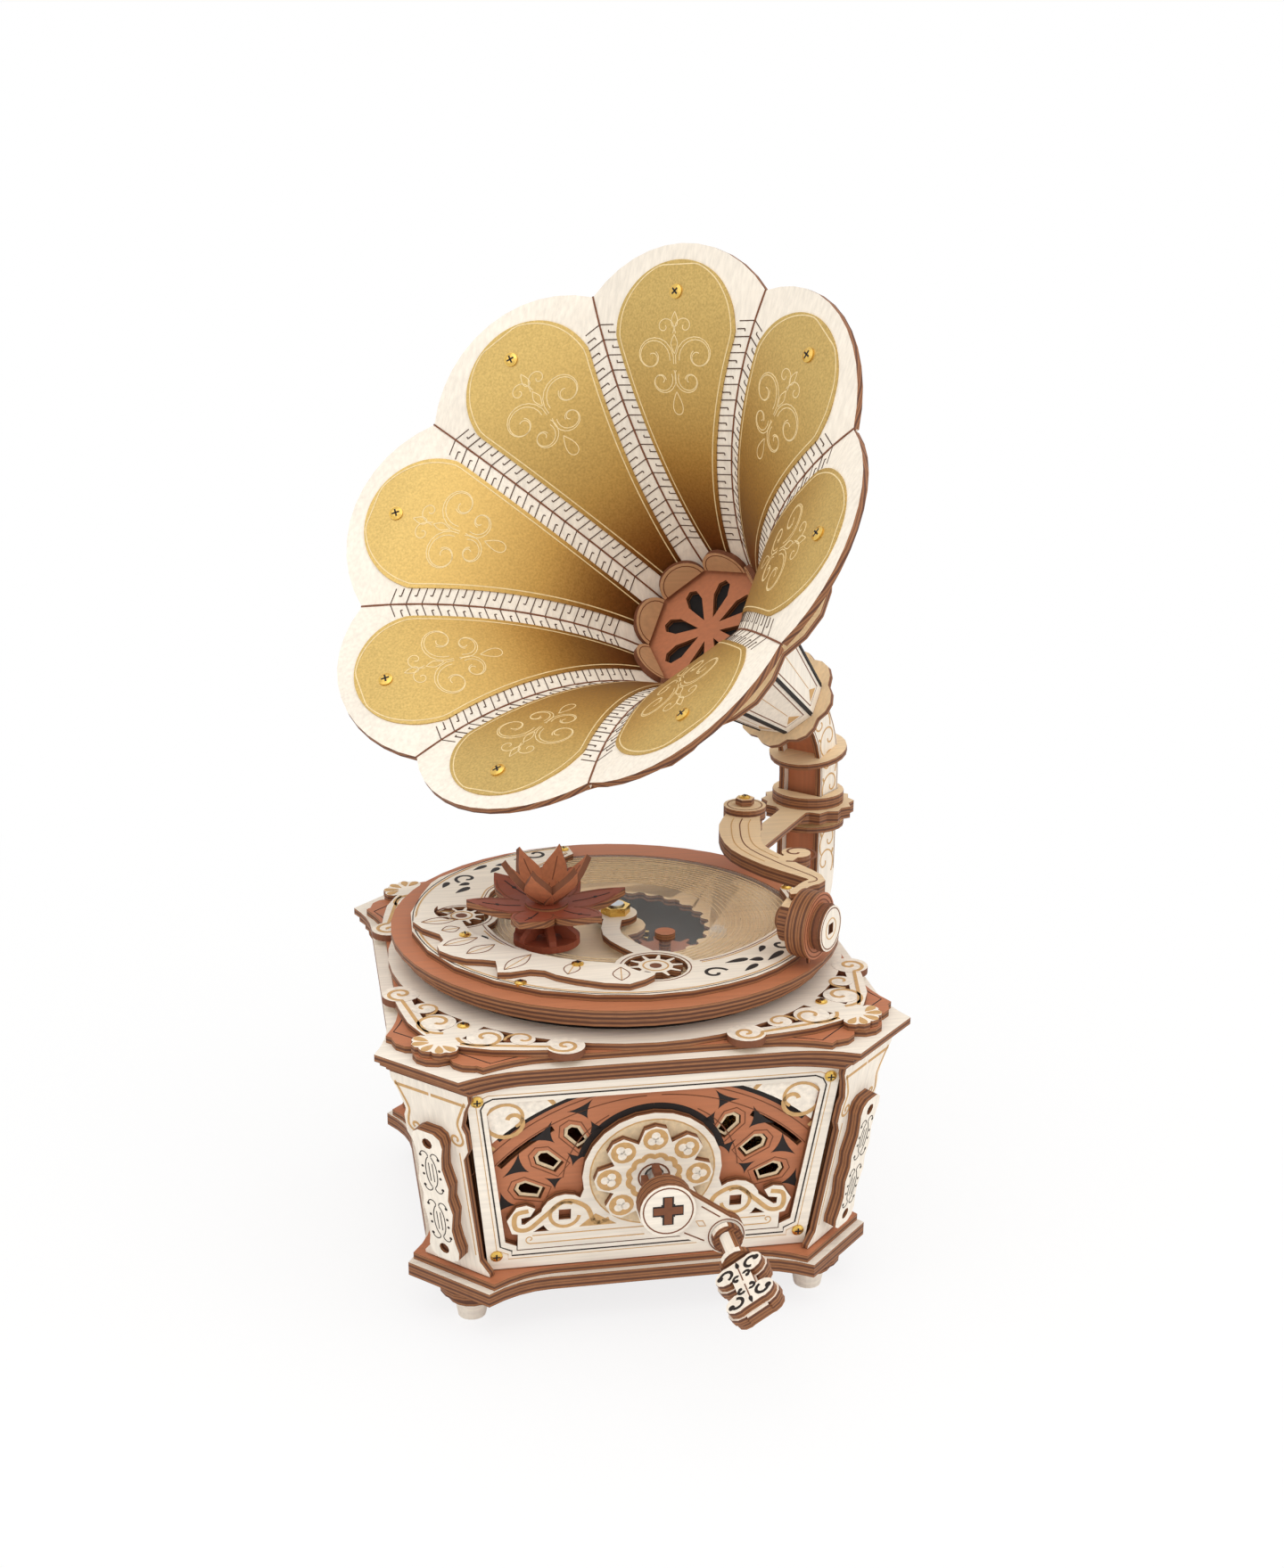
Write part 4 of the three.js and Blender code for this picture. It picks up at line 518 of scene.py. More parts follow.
def packed(tree, x, y, z):
    return put(tree, "ShaderNodeCombineXYZ", {0: x, 1: y, 2: z})


def moved(tree, geometry, x=0.0, y=0.0, z=0.0):
    return put(tree, "GeometryNodeTransform", {"Geometry": geometry, "Translation": packed(tree, x, y, z)})


def block(tree, x, y, z):
    return put(tree, "GeometryNodeMeshCube", {"Size": packed(tree, x, y, z)})


def joined(tree, *parts):
    join = addNode(tree, "GeometryNodeJoinGeometry")
    for part in parts:
        tree.links.new(part, join.inputs[0])
    return join.outputs[0]


def copied(tree, points, shape, **more):
    return put(tree, "GeometryNodeInstanceOnPoints", {"Points": points, "Instance": shape, **more})


def aligned(tree, label, axis, before=(), **settings):  # a rotation that brings an axis to a point's stored direction
    direction = put(tree, "GeometryNodeInputNamedAttribute", {"Name": label}, data_type="FLOAT_VECTOR")
    inputs = dict(before, Vector=direction)
    return put(tree, "FunctionNodeAlignRotationToVector", inputs, axis=axis, **settings)


def screwTree():  # a domed head with a crossed recess, drawn as a near-black cross of painted shade
    tree, sizes = newTree("panScrews", {"Head radius": "Float", "Head height": "Float", "Metal": "Material",
                                        "Recess shade": "Material"})
    radius, height = sizes["Head radius"], sizes["Head height"]
    top, foot, long, slim = (times(tree, radius, share) for share in (0.55, 0.96, 1.15, 0.26))
    half, lift = (times(tree, height, share) for share in (0.5, 0.78))
    sides = 20
    rim = put(tree, "GeometryNodeMeshCylinder", {"Vertices": sides, "Radius": radius, "Depth": height})
    dome = put(tree, "GeometryNodeMeshCone", {"Vertices": sides, "Radius Top": top, "Radius Bottom": foot,
                                              "Depth": half})
    head = coloured(tree, joined(tree, rim, moved(tree, dome, z=half)), sizes["Metal"])
    cross = joined(tree, *(moved(tree, block(tree, x, y, half), z=lift) for x, y in ((long, slim), (slim, long))))
    whole = joined(tree, head, coloured(tree, cross, sizes["Recess shade"]))
    return closeTree(tree, copied(tree, sizes["Geometry"], whole, Rotation=aligned(tree, "axis", "Z")))


def slitTree():  # straight cuts and hooked ones in turn, along the folds of the petals
    tree, sizes = newTree("hingeSlits", {"Slits": "Int", "Length": "Float", "Width": "Float", "Height": "Float",
                                         "Hook": "Float", "Burn": "Material"})
    width, length, height, reach = sizes["Width"], sizes["Length"], sizes["Height"], sizes["Hook"]
    curve = put(tree, "GeometryNodeMeshToCurve", {0: sizes["Geometry"]})
    count = maths(tree, "MULTIPLY_ADD", sizes["Slits"], 2.0, 1.0)
    rows = put(tree, "GeometryNodeResampleCurve", {"Curve": curve, "Count": count})
    turn = aligned(tree, "inward", "Y", {"Rotation": aligned(tree, "outward", "Z")}, pivot_axis="Z")
    odd = maths(tree, "MODULO", put(tree, "GeometryNodeSplineParameter", output="Index"), 2.0)
    even = maths(tree, "SUBTRACT", 1.0, odd)
    tooth = block(tree, width, times(tree, length, 0.5), height)
    hook = joined(tree, moved(tree, tooth, y=times(tree, length, 0.25)),
                  moved(tree, block(tree, reach, width, height), x=times(tree, reach, -0.5)))
    both = joined(tree, *(copied(tree, rows, shape, Selection=chosen, Rotation=turn)
                          for shape, chosen in ((hook, odd), (block(tree, width, length, height), even))))
    return closeTree(tree, both, sizes["Burn"])


def grooveTree():
    tree, sizes = newTree("recordGrooves", {"Grooves": "Int", "First radius": "Float", "Step": "Float",
                                            "Width": "Float", "Gloss": "Material"})
    line = put(tree, "GeometryNodeMeshLine", {"Count": sizes["Grooves"], "Offset": (0, 0, 0)})
    circle = put(tree, "GeometryNodeCurvePrimitiveCircle", {"Resolution": 96, "Radius": 1.0})
    radius = maths(tree, "MULTIPLY_ADD", put(tree, "GeometryNodeInputIndex"), sizes["Step"], sizes["First radius"])
    circles = copied(tree, line, circle, Scale=packed(tree, radius, radius, 1.0))
    section = put(tree, "GeometryNodeCurvePrimitiveCircle", {"Resolution": 4, "Radius": sizes["Width"]})
    tube = put(tree, "GeometryNodeCurveToMesh", {"Curve": put(tree, "GeometryNodeRealizeInstances", {0: circles}),
                                                 "Profile Curve": section})
    return closeTree(tree, copied(tree, sizes["Geometry"], tube), sizes["Gloss"])


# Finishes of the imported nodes
acrylic = {"fixed": {"Base Color": (0.93, 0.95, 0.96, 1), "IOR": 1.49}, "pitch": 1.1, "groovesFrom": 29.0,
           "Alpha": (0.07, 0.07), "Roughness": (0.14, 0.04)}  # both: what a groove adds, and what is there anyway
neckShape = {"reach": 113.0, "bend": 35.6, "bendStart": 102.0, "tilt": radians(12), "collar": 84.6, "discRim": 11.2,
             "discReach": 1.2, "half": 8.0, "core": 5.95, "coreEdge": 5.9, "foot": 70.0,
             "swirls": (1, 8.5, 19.5, 28, 36.5, 45, 53), "border": 5.2}
stem = {"front": 69.2, "length": 50.0, "wide": 24.0, "narrow": 13.0, "ringDepth": 117.1}
arm = {"pivot": (46.5, 33.0), "needle": (47.485, -42.159), "top": 105.8, "out": (0.747798, -0.663926),
       "middle": 97.6, "shield": 9.6, "bearing": 5.3, "beside": 2.6, "boxBack": 5.2}
handleTilt = radians(33)
footPlies = -6.1  # the plies of a foot's stacked discs show above this level
diagonal, sideways = Vector((1, 1, 0)).normalized(), Vector((-1, 1, 0)).normalized()


def cover(name, material):
    piece = nodes[name]
    if piece.material_slots:
        for holder in piece.material_slots:
            holder.material = material
    else:
        piece.data.materials.append(material)


def wood(name, colour, *shape, **more):
    cover(name, plywood(name, paint[colour], *shape, **more))


def rimMask(tree, place, facing):  # the plies of a petal show at its outer edge
    away = vectors(tree, "SUBTRACT", place, tuple(Vector(horn["centre"]) * mm))
    inward = vectors(tree, "MULTIPLY", tuple(mouthAxis), along(tree, away, mouthAxis))
    radial = vectors(tree, "SUBTRACT", away, inward)
    outward = vectors(tree, "DOT_PRODUCT", facing, vectors(tree, "NORMALIZE", radial))
    beyond = maths(tree, "GREATER_THAN", vectors(tree, "LENGTH", radial), horn["rimFrom"] * mm)
    return times(tree, maths(tree, "GREATER_THAN", outward, 0.5), beyond)


def pliesWhere(axis, operation, limit, bothWays=False):  # plies show on the sides that lie beyond a level
    def mask(tree, place, facing):
        level = along(tree, place, axis)
        if bothWays:
            level = maths(tree, "ABSOLUTE", level)
        return times(tree, edgeOn(tree, facing, axis), maths(tree, operation, level, limit * mm))
    return mask


def clearAcrylic():  # the record's fine grooves change how clear and how smooth it is
    material, tree, shader, place = newMaterial("clearAcrylic", **acrylic["fixed"])
    radius = vectors(tree, "LENGTH", vectors(tree, "MULTIPLY", place, (1, 1, 0)))
    wave = maths(tree, "SINE", times(tree, radius, 2 * pi / (acrylic["pitch"] * mm)))
    outer = maths(tree, "GREATER_THAN", radius, acrylic["groovesFrom"] * mm)
    shine = times(tree, maths(tree, "MULTIPLY_ADD", wave, 0.5, 0.5), outer)
    for socket in ("Alpha", "Roughness"):
        tree.links.new(maths(tree, "MULTIPLY_ADD", shine, *acrylic[socket]), shader.inputs[socket])
    return material


def neckDisc(lean, reach, height):  # tan faces and a rim of plies on a disc round the neck
    up = diagonal * -sin(lean) + upAxis * cos(lean)
    centre = diagonal * reach + upAxis * height + up * (ply / 2)

    def patch(tree, place, facing, face):
        offset = vectors(tree, "SUBTRACT", place, tuple(centre * mm))
        level = maths(tree, "ABSOLUTE", along(tree, offset, up))
        near = maths(tree, "LESS_THAN", level, neckShape["discReach"] * mm)
        outside = maths(tree, "GREATER_THAN", vectors(tree, "LENGTH", offset), neckShape["discRim"] * mm)
        edge = edgeOn(tree, facing, up)
        onFace = times(tree, near, maths(tree, "SUBTRACT", 1.0, edge))
        onRim = times(tree, near, times(tree, outside, edge))
        face = blend(tree, onFace, face, woodFace(tree, place, paint["tan"])[0])
        return blend(tree, onRim, face, plyStripes(tree, place, up, centre.dot(up) - ply / 2))
    return patch


def layerAxis(matrix):  # the way a sheet's plies are stacked, and the level where they start
    axis = outwardOf(matrix)
    return axis, matrix.translation.dot(axis)


def wallFinishes():
    cream, terracotta = paint["cream"], paint["terracotta"]
    for name, colour in (("frame", "cream"), ("fretwork", "terracotta"), ("scroll", "cream"), ("rosette", "cream")):
        wood("front_" + name, colour, *layerAxis(frontMatrix))
    for quarter, name in enumerate(("right_panel", "back_panel", "left_panel"), 1):
        axis, base = layerAxis(turned(frontMatrix, quarter))
        wood(name, "cream", axis, base, [(base + 0.02, terracotta)], quarter % 2)
    for quarter, corner in enumerate(("front_left", "front_right", "back_right", "back_left")):
        wood("pilaster_" + corner, "cream", *layerAxis(turned(cornerMatrix, quarter)), grainAxis=2)
        wood("foot_" + corner, "redBrown", layers=[(footPlies, cream)],
             edgeMask=pliesWhere(upAxis, "GREATER_THAN", footPlies))


def sheetFinishes():
    for colour, names in {
        "redBrown": "base_under under_ring flower_petals",
        "cream": "base_plate lid_plate lid_ornament crescent leaf_plate gear_a gear_b",
        "terracotta": "base_step lid_lower lid_panel platter_ring window_gear",
        "tan": "arm_bracket tone_arm",
        "litDeckTan": "deck",
    }.items():
        for name in names.split():
            wood(name, colour, base=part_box(name)[0].z / mm)
    wood("crank_arm", "cream", (0, 1, 0))
    wood("handle_grip", "cream", (-sin(handleTilt), 0, cos(handleTilt)), grainAxis=1)
    wood("flower_stem", "redBrown", base=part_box("flower_stem")[0].z / mm, faceLimit=-1)


def hornFinishes():
    petalWood = plywood("petalWood", paint["cream"], mouthAxis, edgeMask=rimMask, grainAxis=2)
    for i in range(horn["petals"]):
        cover("horn_petal_%d" % (i + 1), petalWood)
    wood("horn_frame", "tan", mouthAxis)
    wood("throat_ring", "terracotta", mouthAxis)
    # only the ring at the stem's end shows its plies
    ringLevel = Vector(horn["centre"]).dot(mouthAxis) - stem["ringDepth"]
    wood("horn_stem", "cream", mouthAxis, ringLevel, [(ringLevel, paint["tan"])],
         edgeMask=pliesWhere(mouthAxis, "LESS_THAN", ringLevel), grainAxis=2)
    lean, bend, core = neckShape["tilt"], neckShape["bend"], neckShape["core"]
    discs = (neckDisc(0, neckShape["reach"], neckShape["collar"]),
             neckDisc(lean, neckShape["reach"] - bend * (1 - cos(lean)), neckShape["bendStart"] + bend * sin(lean)))
    wood("neck", "cream", sideways, 0, [(core, paint["terracotta"]), (-core, paint["cream"])], grainAxis=2,
         edgeMask=pliesWhere(sideways, "GREATER_THAN", neckShape["coreEdge"], True), patches=discs)
    axle = Vector((*arm["out"], 0))
    middle = Vector((*arm["needle"], arm["middle"])).dot(axle)
    wood("sound_box", "cream", axle, middle - ply / 2, [(middle + arm["boxBack"], paint["terracotta"])], grainAxis=2)


clearSheet = clearAcrylic()
wallFinishes()
sheetFinishes()
hornFinishes()
for material, names in ((brass, "fixed_gear spindle_nut crank_gear spindle_gear cylinder governor movement_bedplate"),
                        (steel, "crank_shaft spindle comb"), (clearSheet, "record")):
    for name in names.split():
        cover(name, material)
print("node finishes done")

# Horn: gold sheets, hinge slits, throat lobes
bell = {"goldTip": 9.8, "goldEnd": 1.5, "band": 5.4, "roundStart": 13.0, "lineInset": 1.4, "goldThick": 0.35,
        "lineTop": 0.41, "slits": 15, "slitFrom": 9.0, "slitTo": 80.0, "slitWidth": 0.32, "slitHeight": 0.14,
        "slitHook": 0.7, "lobe": 7.8, "lobeInset": 0.4, "lobeThick": 2.0, "lobeLine": 0.86, "borderWidth": 0.34,
        "flourishWidth": 0.27, "seamWidth": 0.5, "seamHigh": 0.22, "seamLow": -0.7}


def goldHalf(distance):
    straight = bellMiddle(max(distance, bell["roundStart"]))[0] * tan(sector) - bell["band"]
    share = max(0.0, bell["roundStart"] - distance) / (bell["roundStart"] + bell["goldTip"])
    return straight * max(0.0, 1 - share ** 2.2) ** 0.5


def goldRows(steps=44):  # rows across a petal's gold sheet, and the line inside its edge
    end, tip = bellLength - bell["goldEnd"], bell["lineInset"] - bell["goldTip"]
    rows, border = [], []
    for i in range(steps + 1):
        distance = -bell["goldTip"] + 0.02 + (bell["goldTip"] + end) * (i / steps) ** 1.7
        half = max(goldHalf(distance), 0.3)  # the tip keeps a little width, so that no face is empty
        rows.append([(half * (-1 + j / 2), distance) for j in range(5)])
        if goldHalf(distance) > bell["lineInset"] * 2 and distance < end - 3:
            border.append((half - bell["lineInset"], max(distance, tip)))
    return rows, mirrored(border[::-1]) + [(0.0, tip)] + border


def petalFlourish():
    leaf = smoothLine([(0, 10.9), (1.0, 13.2), (0.4, 15.2), (0, 16.0), (-0.4, 15.2), (-1.0, 13.2), (0, 10.9)], 4)
    lines = [teardrop(0, 26.4, 6.4, 4.0, pi / 2), teardrop(0, 4.6, 4.2, 2.6, pi / 2), leaf]
    for side in (1, -1):
        for start, centre, sweep, end in (((0.4, 10.6), (3.1, 8.8), 440, 0.5), ((0.3, 18.9), (7.0, 16.9), 500, 0.9),
                                          ((1.4, 18.0), (7.0, 16.9), 420, 1.9), ((0.3, 20.6), (4.3, 23.4), -450, 0.6),
                                          ((1.1, 21.6), (4.3, 23.4), -380, 1.4)):
            lines.append([(side * x, y) for x, y in scroll(start, centre, sweep, end)])
    return [[(x * 1.2, 0.4 + y * 1.12) for x, y in line] for line in lines]


def lobePoint(angle, size=bell["lobe"]):
    return size * cos(angle), bellLength - bell["lobeInset"] - size * sin(angle)


def foldPoints(steps=24):  # both folds of every petal, with the directions that the slits follow
    places, edges, outward, inward = [], [], [], []
    for petal in range(horn["petals"]):
        place = onPetal(petal)
        for side in (-1, 1):
            for i in range(steps + 1):
                distance = bell["slitFrom"] + (bell["slitTo"] - bell["slitFrom"]) * i / steps
                across = side * (bellMiddle(distance)[0] * tan(sector) - bell["band"] / 2)
                here = place(across, distance, 0.0)
                if i:
                    edges.append((len(places) - 1, len(places)))
                places.append(here)
                outward.append((place(across, distance, 1.0) - here).normalized())
                inward.append((place(across - side, distance, 0.0) - here).normalized())
    return places, edges, {"outward": outward, "inward": inward}


def hornPieces():
    gold, lines, lobes, seams = newStore(), newStore(), newStore(), newStore()
    rows, border = goldRows()
    flourish = petalFlourish()
    crease = [(0, bellLength * i / 24) for i in range(25)]
    lobeRows = [[(max(x, 0.02) * (j / 4 - 1), y) for j in range(9)]
                for x, y in (lobePoint(pi / 16 * k) for k in range(9))]
    lobeLine = [lobePoint(pi * i / 12, bell["lobe"] * bell["lobeLine"]) for i in range(13)]
    for petal in range(horn["petals"]):
        place = onPetal(petal)
        addSheet(gold, rows, place, bell["goldThick"], -0.2)
        addLine(lines, border, bell["borderWidth"], place, bell["lineTop"], 0)
        for line in flourish:
            addLine(lines, line, bell["flourishWidth"], place, bell["lineTop"], 0)
        addLine(seams, crease, bell["seamWidth"], onPetal(petal, True), bell["seamHigh"], bell["seamLow"])
        addSheet(lobes, lobeRows, place, bell["lobeThick"], 0.0, edgeMark=1)
        addLine(lobes, lobeLine, 0.3, place, bell["lobeThick"] + 0.05, bell["lobeThick"] - 0.1, mark=1)
    makePiece("gold_sheets", gold, [goldSheet], "case", "brass")
    makePiece("gold_lines", lines, [goldLine], "case", "cream_plywood")
    makePiece("petal_seams", seams, [singed], "case", "cream_plywood")
    lobeWood = plywood("lobeWood", paint["lobeWood"], mouthAxis, faceLimit=-1)
    makePiece("throat_lobes", lobes, [lobeWood, singed], "case", "tan_plywood")
    grow("hinge_slits", *foldPoints(), slitTree(),
         {"Slits": bell["slits"], "Length": bell["band"] * mm, "Width": bell["slitWidth"] * mm,
          "Height": bell["slitHeight"] * mm, "Hook": bell["slitHook"] * mm, "Burn": slitBurn},
         "case", "cream_plywood")


hornPieces()
print("horn dressed")

# Levels of the faces that carry details
tops = {"ornament": 76.5, "crescent": 87.5, "leaf": 89.5, "record": 85.5, "lidPanel": 74.5, "dial": 87.8,
        "bracketCap": 107.8}

# Engraved and inlaid details; the marks are the places in this list of materials
creamInlay = lineMaterial("creamInlay", paint["cream"])
terracottaInlay = lineMaterial("terracottaInlay", paint["terracotta"])
inlays = [engraved, inkLine, creamInlay, singed, cutsAndPaintedShade, terracottaInlay, lineMaterial("paleTan", paint["paleTan"])]
# the dark mark draws openwork, gaps and recesses in near-black, partly burnt cut walls and partly painted shade
tanMark, inkMark, creamMark, burntMark, cutsAndShadeMark, terracottaMark, paleMark = range(len(inlays))

# Walls: inked openings, the spandrels and fan of the fretwork, scrolls along the foot, the rosette
wallArt = {"arch": 63.0, "spandrelArch": 64.6, "spandrelRise": 1.5, "spandrelTall": 15.0, "ringRadius": 36.0,
           "windowLong": 8.4, "windowWide": 5.6, "fanDrop": 17.0, "boss": 19.5, "rosette": 12.4, "lobe": 3.5,
           "leaf": 1.25, "leafOut": 1.15, "scallop": 6.6, "scallopDeep": 0.7, "innerRing": 4.3, "bossLine": 17.4,
           "scrollBar": 6.0, "hump": 0.62, "line": 1.35, "frontStep": 0.3}
windowShape = ((-0.5, -0.35), (0.25, -0.5), (0.5, -0.2), (0.5, 0.2), (0.25, 0.5), (-0.5, 0.35))
fanVoids = ((11.5, 41.6, 1.5, 1.15), (28.5, 42.4, 1.75, 1.3), (45.5, 42.4, 1.75, 1.3), (62.5, 42.4, 1.5, 1.15),
            (28.5, 30.6, -0.85, -1.0), (45.5, 30.6, -0.85, -1.0), (63, 35.4, -0.9, -0.9))  # angle, radius, sizes
curlShares = ((0.3, 0.14), (0.4, 0.1), (0.47, 0.42), (0.62, 0.56), (0.76, 0.3), (0.88, 0.06), (0.97, 0.1),
              (0.97, 0.36), (0.88, 0.42))  # of the reach to the side and the rise to the boss


def wallHalf(height):  # half the width between a wall's side rails
    return wall["footHalf"] + (wall["headHalf"] - wall["footHalf"]) * height / wallSlant - wall["side"]


headLine = wallSlant - wall["headRail"]
archMiddle = wallSlant - wall["headRail"] / 2 - wallArt["arch"]
fanMiddle = bossUp - wallArt["fanDrop"]
headHalf = wallHalf(headLine)


def opening(spread):
    low, high, notch = wall["footRail"] - spread, headLine + spread, wall["notch"]
    lowHalf, highHalf = wallHalf(low) + spread, wallHalf(high) + spread
    right = [(lowHalf - notch, low), (lowHalf - notch, low + notch / 2), (lowHalf, low + notch),
             (highHalf, high - notch), (highHalf - notch / 3, high - notch / 3), (highHalf - notch, high)]
    return right + mirrored(right)[::-1]


def windowLine(angle, scale):
    points = [(wallArt["ringRadius"] + x * wallArt["windowLong"] * scale, y * wallArt["windowWide"] * scale)
              for x, y in windowShape]
    return rotated(points, radians(angle), 0.0, fanMiddle)


def spandrelHalf(pen, matrix, lift):
    edge, rise = wallArt["spandrelArch"], headLine - archMiddle
    reach = wallHalf(headLine - wallArt["spandrelTall"])
    first = degrees(atan2(sqrt(edge ** 2 - reach ** 2), reach))
    last = degrees(atan2(rise, sqrt(edge ** 2 - rise ** 2)))
    outline = arc(edge, first, last, 0, archMiddle, 12)
    outline += [(headHalf - 3.2, headLine), (headHalf - 1.1, headLine - 1.1), (headHalf, headLine - 3.2)]
    fret, top = flat(matrix, lift), flat(matrix, lift + wallArt["spandrelRise"])
    pen.plate(outline, fret, wallArt["spandrelRise"], creamMark, 0, burntMark)
    curl = (headHalf - 6.6, headLine - 6.4)
    pen.line(scroll((27.5, headLine - 2.0), curl, -500, 1.0), 1.2, top, tanMark)
    pen.line(scroll((headHalf - 2.2, headLine - 15.5), curl, 300, 2.4), 0.9, top, tanMark)
    for radius in (61.2, 57.9):
        pen.line(arc(radius, 36, 88, 0, archMiddle), 0.28, fret, burntMark)
    pen.line(arc(edge - 1.1, first + 1, 84, 0, archMiddle), 2.0, fret, cutsAndShadeMark)


def fanHalf(pen, matrix, lift):
    fret, windowFloor = flat(matrix, lift), flat(matrix, -1.0)
    # a near-black band round the boss: painted shadow cast by the boss on the fretwork
    pen.line(arc(wallArt["boss"] + 0.6, 15, 90, 0, bossUp), 2.2, fret, cutsAndShadeMark)
    for angle in (20, 37, 54):  # a line round each window, and its pale rim seen inside it
        pen.loop(windowLine(angle, 1.34), 0.3, fret, burntMark)
        pen.loop(windowLine(angle, 0.78), 1.0, windowFloor, paleMark)
    for angle, radius, wide, tall in fanVoids:
        middle = polar(radius, radians(angle), 0.0, fanMiddle)
        pen.plate(rotated(hollowTriangle(wide, tall), radians(angle), *middle), fret, 0.08, cutsAndShadeMark)
    pen.line(arc(24.5, 4, 60, 0, bossUp - 3), 0.3, fret, burntMark)


def scrollHalf(pen, face):
    bar = wall["footRail"] + wallArt["scrollBar"]
    rise, reach = bossUp - bar, wallHalf(bar) - 2.3
    pen.line(smoothLine([(x * reach, bar + y * rise) for x, y in curlShares]), wallArt["line"], face, tanMark)
    pen.line(arc(4.1, -170, 120, reach * wallArt["hump"], bar + rise * 0.3), 1.0, face, tanMark)
    pen.plate([(9.5, bar + 0.6), (20, bar + 0.6), (15.5, bar + 4.6)], face, 0.08, tanMark)
    for drop in (1.2, 3.9):
        pen.line([(1.5, bar - drop), (33, bar - drop)], 0.3, face, tanMark)
    pen.line(scroll((33, bar - 3.9), (33.6, bar - 2.4), 400, 0.3), 0.3, face, tanMark)


def rosetteDetails(pen, face, top):
    pen.plate(ring(wallArt["bossLine"], 40, 0, bossUp), face, 0.06, paleMark)
    pen.loop(ring(wallArt["bossLine"], 40, 0, bossUp), 0.4, face, tanMark)
    for i in range(8):
        angle = pi / 4 * i
        lobe = polar(wallArt["rosette"], angle, 0, bossUp)
        pen.plate(ring(wallArt["lobe"], 16, *lobe), top, 0.08, tanMark)
        for k in range(3):
            leaf = polar(wallArt["leafOut"], angle + pi * 2 / 3 * k, *lobe)
            pen.plate(ring(wallArt["leaf"], 12, *leaf), top, 0.16, creamMark, 0.02)
    scallops = [polar(wallArt["scallop"] + wallArt["scallopDeep"] * abs(sin(6 * turn)), turn, 0, bossUp)
                for turn in (2 * pi * i / 72 for i in range(72))]
    pen.loop(scallops, 1.5, top, tanMark)
    pen.loop(ring(wallArt["innerRing"], 24, 0, bossUp), 0.5, top, burntMark)


def wallDetails():
    store = newStore()
    for quarter in range(4):
        matrix = turned(frontMatrix, quarter)
        step = 0.0 if quarter else wallArt["frontStep"]  # the front's fretwork lies deeper, its rosette higher
        face = flat(matrix, ply)
        Pen(store).loop(opening(1.5), 0.42, face, inkMark)
        Pen(store).loop(opening(2.6), 0.2, face, tanMark)
        for side in (1, -1):
            spandrelHalf(Pen(store, side), matrix, -step)
            fanHalf(Pen(store, side), matrix, -step)
            scrollHalf(Pen(store, side), face)
        rosetteDetails(Pen(store), face, flat(matrix, ply * 2 + step))
    makePiece("wall_details", store, inlays, "case", "cream_plywood")


wallDetails()

# Pilasters: plaque engraving, plugs, volutes
pilaster = {"foot": 5.5, "length": 43.0, "face": 6.0, "hole": 1.66, "plugs": (0.09, 0.91), "plaques": (0.31, 0.69),
            "capital": 11.0}
capital = cornerSlant - pilaster["capital"]  # where the shaft ends


def plaqueQuarter(pen, face):
    pen.line(smoothLine([(1.9, 0.0), (1.75, 2.2), (1.2, 4.0), (0.5, 5.0)], 4), 0.26, face, inkMark)
    pen.line([(0.62, 0.0), (0.62, 3.0)], 0.24, face, inkMark)
    pen.line(arc(1.3, 180, 10, 1.8, 5.2, 8), 0.26, face, inkMark)
    for dot in ((0.46, 10, 3.1, 5.0), (0.4, 10, 2.9, 1.3)):
        pen.plate(ring(*dot), face, 0.09, inkMark)


def pilasterDetails():
    store = newStore()
    volute = smoothLine([(12.0, cornerSlant - 2.6), (10.3, capital + 5.2), (8.4, capital + 0.8), (9.1, capital - 2.4),
                         (9.5, capital - 4.4)], 4)
    volute += scroll(volute[-1], (7.0, capital - 4.6), -430, 0.6)[1:]
    for quarter in range(4):
        matrix = turned(cornerMatrix, quarter)
        back, face = flat(matrix, ply), flat(matrix, pilaster["face"])
        for side in (1, -1):
            for line, width in ((volute, 0.7), ([(12.2, cornerSlant - 3.4), (0.4, cornerSlant - 3.4)], 0.9),
                                ([(7.6, capital - 9), (7.6, 7)], 0.3)):
                Pen(store, side).line(line, width, back, tanMark)
        if quarter == 2:  # this corner carries the neck, with no plaque
            continue
        for share in pilaster["plugs"]:
            height = pilaster["foot"] + share * pilaster["length"]
            Pen(store).plate(ring(pilaster["hole"], 16, 0, height), face, -1.2, burntMark, -3.6)
        for share in pilaster["plaques"]:
            for side, flip in ((1, 1), (1, -1), (-1, 1), (-1, -1)):
                plaqueQuarter(Pen(store, side, flip, pilaster["foot"] + share * pilaster["length"]), face)
    makePiece("pilaster_details", store, inlays, "case", "cream_plywood")


pilasterDetails()

# Lid: the inked border, the scrolls and palmettes at the corners, and a dark disc of painted shadow under the platter
lid = {"half": 66.4, "ear": 4.4, "cut": 23.7, "earRun": 18.0, "palmette": 82.5, "lobe": 3.3, "lobeTurn": radians(42),
       "well": 58.0}
lidCurls = {"palm": (8.2, 71.8), "inner": (17.2, 67.0), "outer": (28.6, 63.4)}  # centres of the scrolls


def earedOutline(inset):
    half = lid["half"] - inset
    corner = half + lid["ear"] - lid["cut"]
    side = [(corner - lid["earRun"] * (1 - i / 4), -half - lid["ear"] * (i / 4) ** 2) for i in range(5)]
    return [point for quarter in range(4) for point in rotated(mirrored(side)[::-1] + side, quarter * pi / 2)]


def onDiagonal(quarter, height):
    matrix = Matrix.Rotation((quarter + 0.5) * pi / 2, 4, "Z") @ Matrix.Rotation(-pi / 2, 4, "Z")
    return lambda across, distance, z: (matrix @ Vector((across, distance, height + z))) * mm


